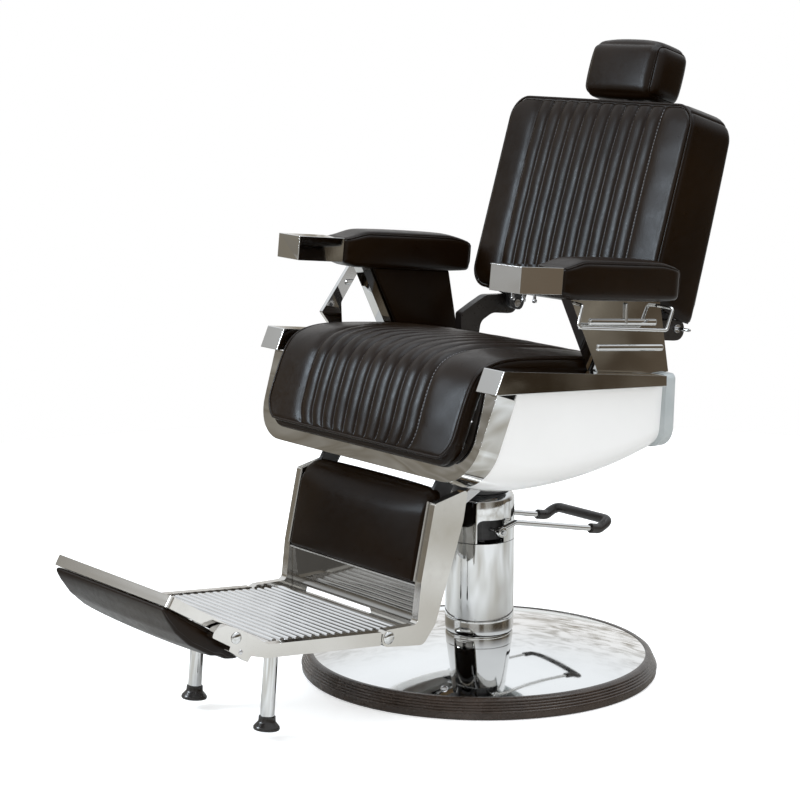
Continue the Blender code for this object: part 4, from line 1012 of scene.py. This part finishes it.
def stitches(lines, length=0.0042, thick=0.00055):
    """Short threads laid along each line, one between each two of its places."""
    points, faces = [], []
    for line in lines:
        for a, b in zip(line, line[1:]):
            step = (b - a).normalized()
            middle = (a + b) / 2
            side = step.cross(Vector((0, -0.5, 0.8))).normalized()
            up = side.cross(step).normalized()
            base = len(points)
            for along_thread, size in ((-0.5, 0.35), (-0.3, 1.0), (0.3, 1.0), (0.5, 0.35)):
                for k in range(5):
                    turn = 2 * math.pi * k / 5
                    points.append(middle + step * (along_thread * length)
                                  + (side * math.cos(turn) + up * math.sin(turn)) * thick * size)
            for ring in range(3):
                for k in range(5):
                    n = (k + 1) % 5
                    i = base + ring * 5
                    faces.append((i + k, i + n, i + 5 + n, i + 5 + k))
            faces.append([base + k for k in range(4, -1, -1)])
            faces.append([base + 15 + k for k in range(5)])
    obj = new_mesh("stitches", points, faces)
    obj.data.shade_smooth()
    return obj


def make_back():
    half = (BACK_HIGH - BACK_LOW) / 2
    middle, deep = (BACK_HIGH + BACK_LOW) / 2, BACK_DEPTH / 2

    def rounded(p):
        """Rounds the four corners of the front view."""
        limits = np.array([BACK_HALF, half]) - BACK_CORNER
        size = np.abs(p[:, :2])
        past = np.clip(size - limits, 0, None) / BACK_CORNER
        far = np.sqrt(past[:, 0] ** 2 + past[:, 1] ** 2)
        scale = np.where(far > 1e-9, past.max(axis=1) / np.maximum(far, 1e-9), 1.0)[:, None]
        return np.sign(p[:, :2]) * np.where(past > 0, limits + past * scale * BACK_CORNER, size)

    def shape(p, n, unit):
        return (fluted(p, n, half, 0.010, 0.0066, (83, 31, 57, 19)) + seam_pinch(n, 0, 2, 0.0022)
                + seam_pinch(n, 1, 2, 0.0022))

    def warp(p):
        x, y = rounded(p).T
        # The cushion's own top faces the sitter. Its rear is wedge-shaped, deeper at the foot.
        height = y + middle
        rear = 0.0335 - 0.013 * held((height - 0.03) / 0.37)
        share = (deep - p[:, 2]) / BACK_DEPTH
        depth = -BACK_DEPTH + np.where(share < 0, BACK_DEPTH, BACK_DEPTH + rear) * share
        # The crown falls away faster close to the top and foot seams of the front.
        fall = held((np.abs(y) / half - 0.80) / 0.20) ** 2
        depth = depth + 0.0065 * fall * held(1 - share * 2.5)
        # The side view's rear corners are rounded, and the foot is cut away over the bracket.
        corner = rounding(0.97 * held((share - 0.80) / 0.20) ** 2)
        height = height - 0.024 * corner * held((height - 0.30) / 0.1)
        outside = held((np.abs(x) - 0.2490) / 0.0025)
        over = held((depth + 0.060) / 0.012) * (1 - outside)
        # The outermost strip hangs lower, as a skirt beside the bracket.
        low = held((0.110 - height) / 0.055)
        height = height - 0.026 * low * outside * held(1.3 * share)
        foot = BACK_LOW + 0.0175 * over - 0.030 * outside + 0.014 * corner * outside
        return np.stack([x, depth, np.maximum(height, foot)], axis=1)

    back = cushion((BACK_HALF, half, deep), (9, 70, 16), 0.011, (0.0055, 0.003, 0.010, 0.0), shape,
                   warp, columns=seam_columns(BACK_HALF, 0.011))
    piece(back, "back_pad", "backrest", "black_leather", "back_cushion", BACK)
    seams = stitched_seams(warp, BACK_HALF, half, deep, 0.010, 0.0054)
    piece(seams, "back_stitching", "backrest", "thread", at=BACK)
    corners = [(a * BACK_HALF, b * half, BACK_CORNER)
               for a, b in ((1, 1), (-1, 1), (-1, -1), (1, -1))]
    edge = [(a * 0.993, 0.0050 - BACK_DEPTH, b * 0.990 + middle) for a, b in fillet(corners, 10)]
    piece(tube(edge, 0.0024, True, 4), "back_welt", "backrest", "black_leather", at=BACK)

    def board_warp(p):
        height = p[:, 1] + 0.215
        t = held((height - 0.030) / 0.370)
        depth = 0.0365 * (1 - t) + 0.0222 * t
        return np.stack([p[:, 0], 0.0004 + depth * (p[:, 2] + 0.012) / 0.024, height], axis=1)

    board = cushion((0.236, 0.172, 0.012), (40, 32, 4), 0.0035, (0, 0, 0.0, 0), None, board_warp)
    piece(board, "back_shell", "backrest", "black_leather", "back_board", BACK)


def make_back_bolts():
    """Three small bolts close to the back cushion's foot, which they don't touch."""
    for i, (x, y) in enumerate(((-0.110, 0.170), (-0.074, 0.167), (-0.050, 0.175))):
        bolt = lathe([(0, 0.024), (0.0032, 0.024), (0.0032, 0.0065), (0.0044, 0.0060),
                      (0.0047, 0.005), (0.0047, 0.001), (0.0040, 0.0), (0, 0.0)], steps=32,
                     at=(x, y, 0.6880))
        piece(bolt, f"back_bolt_{i + 1}", "backrest", "brushed_steel")


def make_hinge_tip():
    """The hinge pin's long end, on the sitter's left."""
    tip = crosswise([(0, 0.2835), (0.0022, 0.2830), (0.0030, 0.2815), (0.0030, 0.2500),
                     (0, 0.2500)], 1, 32, HINGE)
    piece(tip, "hinge_pin_tip", "backrest", "chrome")


def make_headrest():
    def shape(p, n, unit):
        return seam_pinch(n, 0, 1, 0.0010) + seam_pinch(n, 0, 2, 0.0010)

    place = BACK @ moved(0, -0.0225, 0.4755)
    pad = cushion((0.0945, 0.0450, 0.0540), (30, 14, 16), 0.021, (0.0100, 0.006, 0.0105, 0.004),
                  shape)
    piece(pad, "head_pad", "headrest", "black_leather", "headrest_pad", place)
    half, top, foot, radius = 0.0394, 0.0485, -0.0478, 0.0152
    section = fillet([(half, top, radius), (-half, top, radius), (-half, foot, radius),
                      (half, foot, radius)], 10)
    for ending, side in SIDES:
        loop = [Vector((side * 0.0880, y, z)) for y, z in section]
        piece(tube(loop, 0.0011, True, 3), f"head_welt_{ending}", "headrest", "black_leather",
              at=place)


# ---------------------------------------------------------------- leg rest and footrest
def make_legs():
    _, y, z = KNEE
    shape = [(-0.278, 0.394, 0.006), (-0.308, 0.257, 0.03), (-0.3165, 0.1825, 0.010),
             (y + 0.006, z + 0.0145, 0.01), (y - 0.0145, z + 0.0145, 0.0140),
             (y - 0.0145, z - 0.0145, 0.0140), (-0.303, 0.1430, 0.016), (-0.276, 0.176, 0.02),
             (-0.242, 0.270, 0.05), (-0.213, 0.356, 0.02), (-0.203, 0.411, 0.006)]
    for ending, side in SIDES:
        plate = outline("side", shape, LEG_WIDTH, (side * LEG_MIDDLE, 0, 0), [circle(y, z, 0.0062)])
        piece(plate, f"leg_casting_{ending}", "legrest", "polished", f"leg_plate_{ending}",
              edge=0.0016)
    lean = math.tan(math.radians(12.3))

    def warp(p):
        # The cover rolls back over the top.
        height = p[:, 1] + 0.3305
        front = -0.308 + (height - 0.257) * lean - 0.004
        roll = held((height - 0.372) / 0.045)
        share = (0.0115 - p[:, 2]) / 0.023
        depth = front + 0.020 * roll**2 + (0.034 - 0.014 * roll) * share
        side = held((np.abs(p[:, 0]) - 0.158) / 0.032)
        return np.stack([p[:, 0], depth, height - 0.017 * roll * rounding(0.96 * side**2)], axis=1)

    def pinch(p, n, unit):
        return seam_pinch(n, 1, 2, 0.0010) * (unit[:, 1] < 0)

    pad = cushion((0.1902, 0.0815, 0.0115), (48, 28, 5), 0.0100, (0, 0.003, 0.0095, 0), pinch, warp)
    # Its leatherette is the darker copy: painted shade
    piece(pad, "shin_cushion", "legrest", "leather_dull_painted_shade", "shin_pad")
    for ending, side in SIDES:
        lip = tube([(side * 0.1905, -0.3100, 0.2560), (side * 0.1905, -0.2790, 0.3960)], 0.0022,
                   roundness=3)
        piece(lip, f"leg_lip_{ending}", "legrest", "chrome")
    # The mirror plate under the pad hangs upright, with a long notch in its foot.
    half, top, foot, notch = 0.1902, 0.2508, 0.1640, 0.1770
    notched = [(-half, top), (-half, foot), (-0.150, foot, 0.003), (-0.146, notch, 0.003),
               (0.052, notch, 0.003), (0.056, foot, 0.003), (half, foot), (half, top)]
    mirror = outline("front", notched, 0.0022, (0, -0.3015, 0))
    piece(mirror, "kick_mirror", "legrest", "mirror", "kick_plate", edge=0.0005)
    trim = tube([(-half, -0.3065, 0.2485), (half, -0.3065, 0.2485)], 0.0019, roundness=3)
    piece(trim, "kick_trim", "legrest", "chrome")


def make_footrest():
    grooves, pitch, depth, top = 17, 0.0165, 0.0024, 0.0113
    full, between_bars = 0.3817, 0.3560
    foot, front, rear = 0.0013, -0.254, 0.062
    floor = top - depth
    parts = [outline("side", [(front, foot), (rear, foot), (rear, floor), (front, floor)], full)]
    starts = [front + 0.014 + i * pitch for i in range(grooves)]
    # A flat land at each end over the full width, then a rib after each groove but the last.
    lands = [(front, starts[0] + 0.0032), (starts[-1] + 0.0118, rear)]
    lands += [(a + 0.0118, b + 0.0032) for a, b in zip(starts, starts[1:])]
    for i, (low, high) in enumerate(lands):
        section = [(low - 0.0008, floor - 0.0004), (low, top - 0.0007), (low + 0.0009, top),
                   (high - 0.0009, top), (high, top - 0.0007), (high + 0.0008, floor - 0.0004)]
        parts.append(outline("side", section, full if i < 2 else between_bars))
    tread = merged("tread", parts)
    piece(tread, "ribbed_tread", "footplate", "aluminium", "tread_plate", FOOT)
    soften(tread, 50)
    _, y, z = FLIP_HINGE
    low = -0.0125
    # The bar ends in a rounded knuckle past the pin, with a square tab under it.
    rail_shape = [(-0.0165, low, 0.002), (-0.0165, top, 0.002), (-0.256, top, 0.02),
                  (-0.3120, 0.0400, 0.030), (-0.3430, 0.0508, 0.012), (-0.3690, 0.0450, 0.014),
                  (-0.3705, 0.0320, 0.002), (-0.3340, 0.0142), (-0.3362, 0.0066, 0.001),
                  (-0.2972, -0.0160, 0.001), (-0.2905, -0.0060), (-0.258, low, 0.02)]
    for ending, side in SIDES:
        rail = outline("side", rail_shape, LEG_WIDTH, (side * LEG_MIDDLE, 0, 0),
                       [circle(y, z, 0.0056)])
        piece(rail, f"foot_bar_{ending}", "footplate", "polished", f"foot_rail_{ending}", FOOT,
              edge=0.0018)
        pin = crosswise([(0, 0.2128), (0.0060, 0.2125), (0.0098, 0.2112), (0.0112, 0.2095),
                         (0.0112, 0.2088), (0.0056, 0.2088), (0.0056, 0.1912), (0, 0.1912)],
                        side, 48)
        piece(pin, f"foot_bolt_{ending}", "footplate", "chrome", f"foot_pin_{ending}", FOOT)
        screw = bolt_head(0.0042, 0.0018, side * LEG_OUTER, -0.3126, 0.0028, side)
        piece(screw, f"tab_screw_{ending}", "footplate", "brushed_steel", at=FOOT)
        leg_at, radius = (side * 0.115, -0.183, 0), 0.0125
        leg = lathe([(0, foot - 0.0003), (radius, foot - 0.0003), (radius, -0.142), (0, -0.142)],
                    steps=64, at=leg_at)
        piece(leg, f"leg_post_{ending}", "footplate", "chrome", f"foot_leg_{ending}", FOOT)
        shoe_top, end = -0.1423, -0.1665
        bell = [(0, shoe_top), (0.0138, shoe_top), (0.0148, shoe_top - 0.001),
                (0.0152, shoe_top - 0.009), (0.0170, shoe_top - 0.012), (0.0218, end + 0.0070),
                (0.0232, end + 0.0045), (0.0235, end + 0.002), (0.0225, end), (0, end)]
        piece(lathe(bell, steps=64, at=leg_at), f"leg_shoe_{ending}", "footplate",
              "glossy_rubber", f"foot_shoe_{ending}", FOOT)


def make_flip():
    half, front, bar = 0.185, -0.1365, 0.014
    rear, inner = 0.010, half - bar
    shape = [(half, rear), (half, front, 0.006), (-half, front, 0.006), (-half, rear),
             (-inner, rear), (-inner, front + bar), (inner, front + bar), (inner, rear)]
    rim = outline("top", shape, 0.0195, (0, 0, 0.00575))
    bevel(rim, 0.0016)
    # The floor's edges reach a little way into the rim.
    x, y = inner + 0.002, front + bar - 0.002
    sheet = outline("top", [(x, 0.0062), (x, y), (-x, y), (-x, 0.0062)], 0.003, (0, 0, 0.012))
    piece(rim, "flip_frame", "flip_panel", "polished", "flip_tray", FLIP)
    piece(sheet, "flip_floor", "flip_panel", "polished", at=FLIP)
    for ending, side in SIDES:
        pin = crosswise([(0, 0.2128), (0.0055, 0.2125), (0.0088, 0.2112), (0.0100, 0.2097),
                         (0.0100, 0.2088), (0.0050, 0.2088), (0.0050, 0.1810), (0, 0.1810)],
                        side, 48)
        piece(pin, f"flip_bolt_{ending}", "flip_panel", "chrome", at=FLIP)

    def warp(p):
        y = p[:, 1] - 0.0445
        t = held((y + 0.1345) / 0.180)
        deep = np.interp(t, [0, 0.10, 0.25, 0.45, 0.72, 0.88, 1.0],
                         [0.0085, 0.0190, 0.0310, 0.0385, 0.0380, 0.0270, 0.0085])
        top = np.interp(y, [-0.15, 0.010, 0.046], [-0.0046, -0.0046, -0.0200])
        share = (0.012 - p[:, 2]) / 0.024
        return np.stack([p[:, 0], y, top - deep * (1 - share)], axis=1)

    def pinch(p, n, unit):
        return seam_pinch(n, 0, 2, 0.0012)

    pad = cushion((0.1795, 0.0900, 0.012), (46, 30, 5), 0.0095, (0, 0, 0.004, 0), pinch, warp)
    piece(pad, "flip_cushion", "flip_panel", "black_leather", "flip_pad", FLIP)


# ---------------------------------------------------------------- CAD nodes that stay
# Each node's material and the width of its rounded edges
KEPT = {
    "base_ballast": ("cast_iron", 0), "ram_thrust_washer": ("brass", 0),
    "pump_block": ("cast_iron", 0), "seat_frame": ("painted_steel", 0.001),
    "seat_board": ("plywood", 0.001),
    "side_band_left": ("chrome", 0.0014), "side_band_right": ("chrome", 0.0014),
    "arm_block_left": ("chrome", 0.0012), "arm_block_right": ("chrome", 0.0012),
    "release_bolt": ("brushed_steel", 0.0008), "headrest_guide": ("painted_steel", 0.0006),
    "back_bracket": ("painted_steel", 0.0008), "hinge_pin_left": ("brushed_steel", 0.0006),
    "hinge_pin_right": ("brushed_steel", 0.0006), "headrest_post": ("brushed_steel", 0.0012),
    "push_rod": ("brushed_steel", 0.0008), "leg_tube": ("painted_steel", 0.0008),
}


def dress_cad():
    """Gives the CAD nodes that stay their materials and rounded edges."""
    for name, (kind, edge) in KEPT.items():
        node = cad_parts[name]
        paint(node, kind)
        if edge:
            node.modifiers.new("Weld", "WELD").merge_threshold = 0.00002
            round_edges(node, edge, 40)


# ---------------------------------------------------------------- camera, light and floor
def make_camera():
    turn, tilt, roll = math.radians(52.03), math.radians(9.838), math.radians(0.183)
    flat = math.cos(tilt)
    back = Vector((math.sin(turn) * flat, -math.cos(turn) * flat, math.sin(tilt)))
    level = Vector((math.cos(turn), math.sin(turn), 0))
    upright = back.cross(level)
    right = level * math.cos(roll) + upright * math.sin(roll)
    up = upright * math.cos(roll) - level * math.sin(roll)
    data = bpy.data.cameras.new("camera")
    data.lens, data.sensor_width = 104.84, 36.0
    data.clip_end = 60.0
    camera = add_object("camera", data)
    place = Vector((3.3229, -2.7875, 1.2732))
    camera.matrix_world = Matrix((
        (right.x, up.x, back.x, place.x), (right.y, up.y, back.y, place.y),
        (right.z, up.z, back.z, place.z), (0, 0, 0, 1)))
    bpy.context.scene.camera = camera


def area_light(name, place, aim, size, power, color):
    data = bpy.data.lights.new(name, "AREA")
    data.shape = "RECTANGLE"
    data.size, data.size_y = size
    data.energy = power
    data.color = color
    light = add_object(name, data)
    # The chrome doesn't mirror the fill light.
    light.visible_glossy = name != "fill"
    light.location = place
    light.rotation_euler = (Vector(aim) - Vector(place)).to_track_quat("-Z", "Y").to_euler()


# The room's colour low round the object: a direction in degrees from +X, and its colour.
ROOM = [(-180, (0.36, 0.33, 0.28)), (-160, (0.28, 0.26, 0.22)), (-135, (0.25, 0.23, 0.20)),
        (-126, (1.10, 1.15, 1.20)), (-112, (1.10, 1.15, 1.20)), (-104, (0.34, 0.33, 0.30)),
        (-76, (0.30, 0.28, 0.25)), (-68, (0.66, 0.66, 0.65)), (-44, (0.70, 0.70, 0.69)),
        (-36, (0.12, 0.10, 0.08)), (-27, (0.12, 0.10, 0.08)), (-20, (0.54, 0.54, 0.52)),
        (-4, (0.44, 0.43, 0.40)), (12, (0.050, 0.036, 0.024)), (42, (0.034, 0.024, 0.014)),
        (47, (0.18, 0.14, 0.10)), (62, (0.16, 0.14, 0.11)), (74, (0.05, 0.04, 0.03)),
        (98, (1.02, 1.03, 1.03)), (142, (0.98, 0.98, 0.98)), (164, (0.50, 0.48, 0.44)),
        (180, (0.36, 0.33, 0.28))]


def make_world():
    """White to the camera. Other rays meet a bright ceiling over a room's light and dark sides."""
    world = bpy.data.worlds.new("studio")
    bpy.context.scene.world = world
    world.use_nodes = True
    tree = world.node_tree
    direction = add_node(tree, "TexCoord").outputs["Generated"]
    parts = add_node(tree, "SeparateXYZ", links={0: direction}).outputs
    turn = add_node(tree, "Math", links={0: parts["Y"], 1: parts["X"]}, operation="ARCTAN2")
    ring = ramped(tree, spanned(tree, turn.outputs[0], -math.pi, math.pi),
                  [(angle / 360 + 0.5, color) for angle, color in ROOM])
    # Furniture and window light: patches darker and lighter than the wall they stand before.
    patches = noise(tree, direction, 34.0, 5.0, 0.62, 0.8)
    wall = mixed(tree, spanned(tree, patches, 0.46, 0.66), ring, (0.27, 0.24, 0.19))
    rise = spanned(tree, parts["Z"], 0.16, 0.55, interpolation_type="SMOOTHSTEP")
    shade = mixed(tree, rise, wall, (1.00, 1.04, 1.08))
    path = add_node(tree, "LightPath").outputs["Is Camera Ray"]
    background = tree.nodes["Background"].inputs
    tree.links.new(mixed(tree, path, shade, (1.0, 1.0, 1.0)), background["Color"])
    background["Strength"].default_value = 1.0


def make_floor():
    floor = lathe([(0, 0.0), (2.6, 0.0)], steps=128, at=(0, 0, -0.0006))
    floor.name = "floor"
    look = Look("floor_white", 0.9)
    tree = look.tree
    path = add_node(tree, "LightPath").outputs["Is Camera Ray"]
    mottled = ramped(tree, look.noise(1.3, 2.0, 0.5, 0.3),
                     [(0.38, (0.44, 0.42, 0.38)), (0.60, (0.74, 0.74, 0.73))])
    # A dark rug ahead of the sitter's right, which the kick plate mirrors.
    away = add_node(tree, "VectorMath", {1: (-1.15, -1.05, 0)}, {0: look.where},
                    operation="DISTANCE").outputs["Value"]
    rug = mixed(tree, spanned(tree, away, 0.45, 0.75), (0.035, 0.028, 0.020), mottled)
    look.feed("Base Color", mixed(tree, path, rug, (0.90, 0.90, 0.90)))
    look.inputs["Emission Color"].default_value = (1, 1, 1, 1)
    look.feed("Emission Strength", spanned(tree, path, 0, 1, 0.0, 0.45))
    floor.data.materials.append(look.mat)


def make_light():
    bpy.context.scene.view_settings.view_transform = "Standard"
    area_light("key", (-1.7, -3.1, 2.0), (0, 0, 0.7), (1.2, 1.2), 100, (0.84, 0.92, 1.0))
    area_light("top", (0.2, 0.1, 3.4), (0, 0, 0.5), (2.6, 2.6), 60, (0.92, 0.96, 1.0))
    area_light("fill", (3.6, -1.9, 1.3), (0, 0, 0.5), (1.8, 1.8), 48, (1.0, 0.99, 0.98))


for make in (make_camera, make_world, make_floor, make_light, make_base, make_column, make_lever,
             make_apron, make_shells, make_trim, make_hinge_arms, make_arms, make_towel_rail,
             make_release, make_seat, make_back, make_back_bolts, make_hinge_tip, make_headrest,
             make_legs, make_footrest, make_flip, dress_cad):
    make()
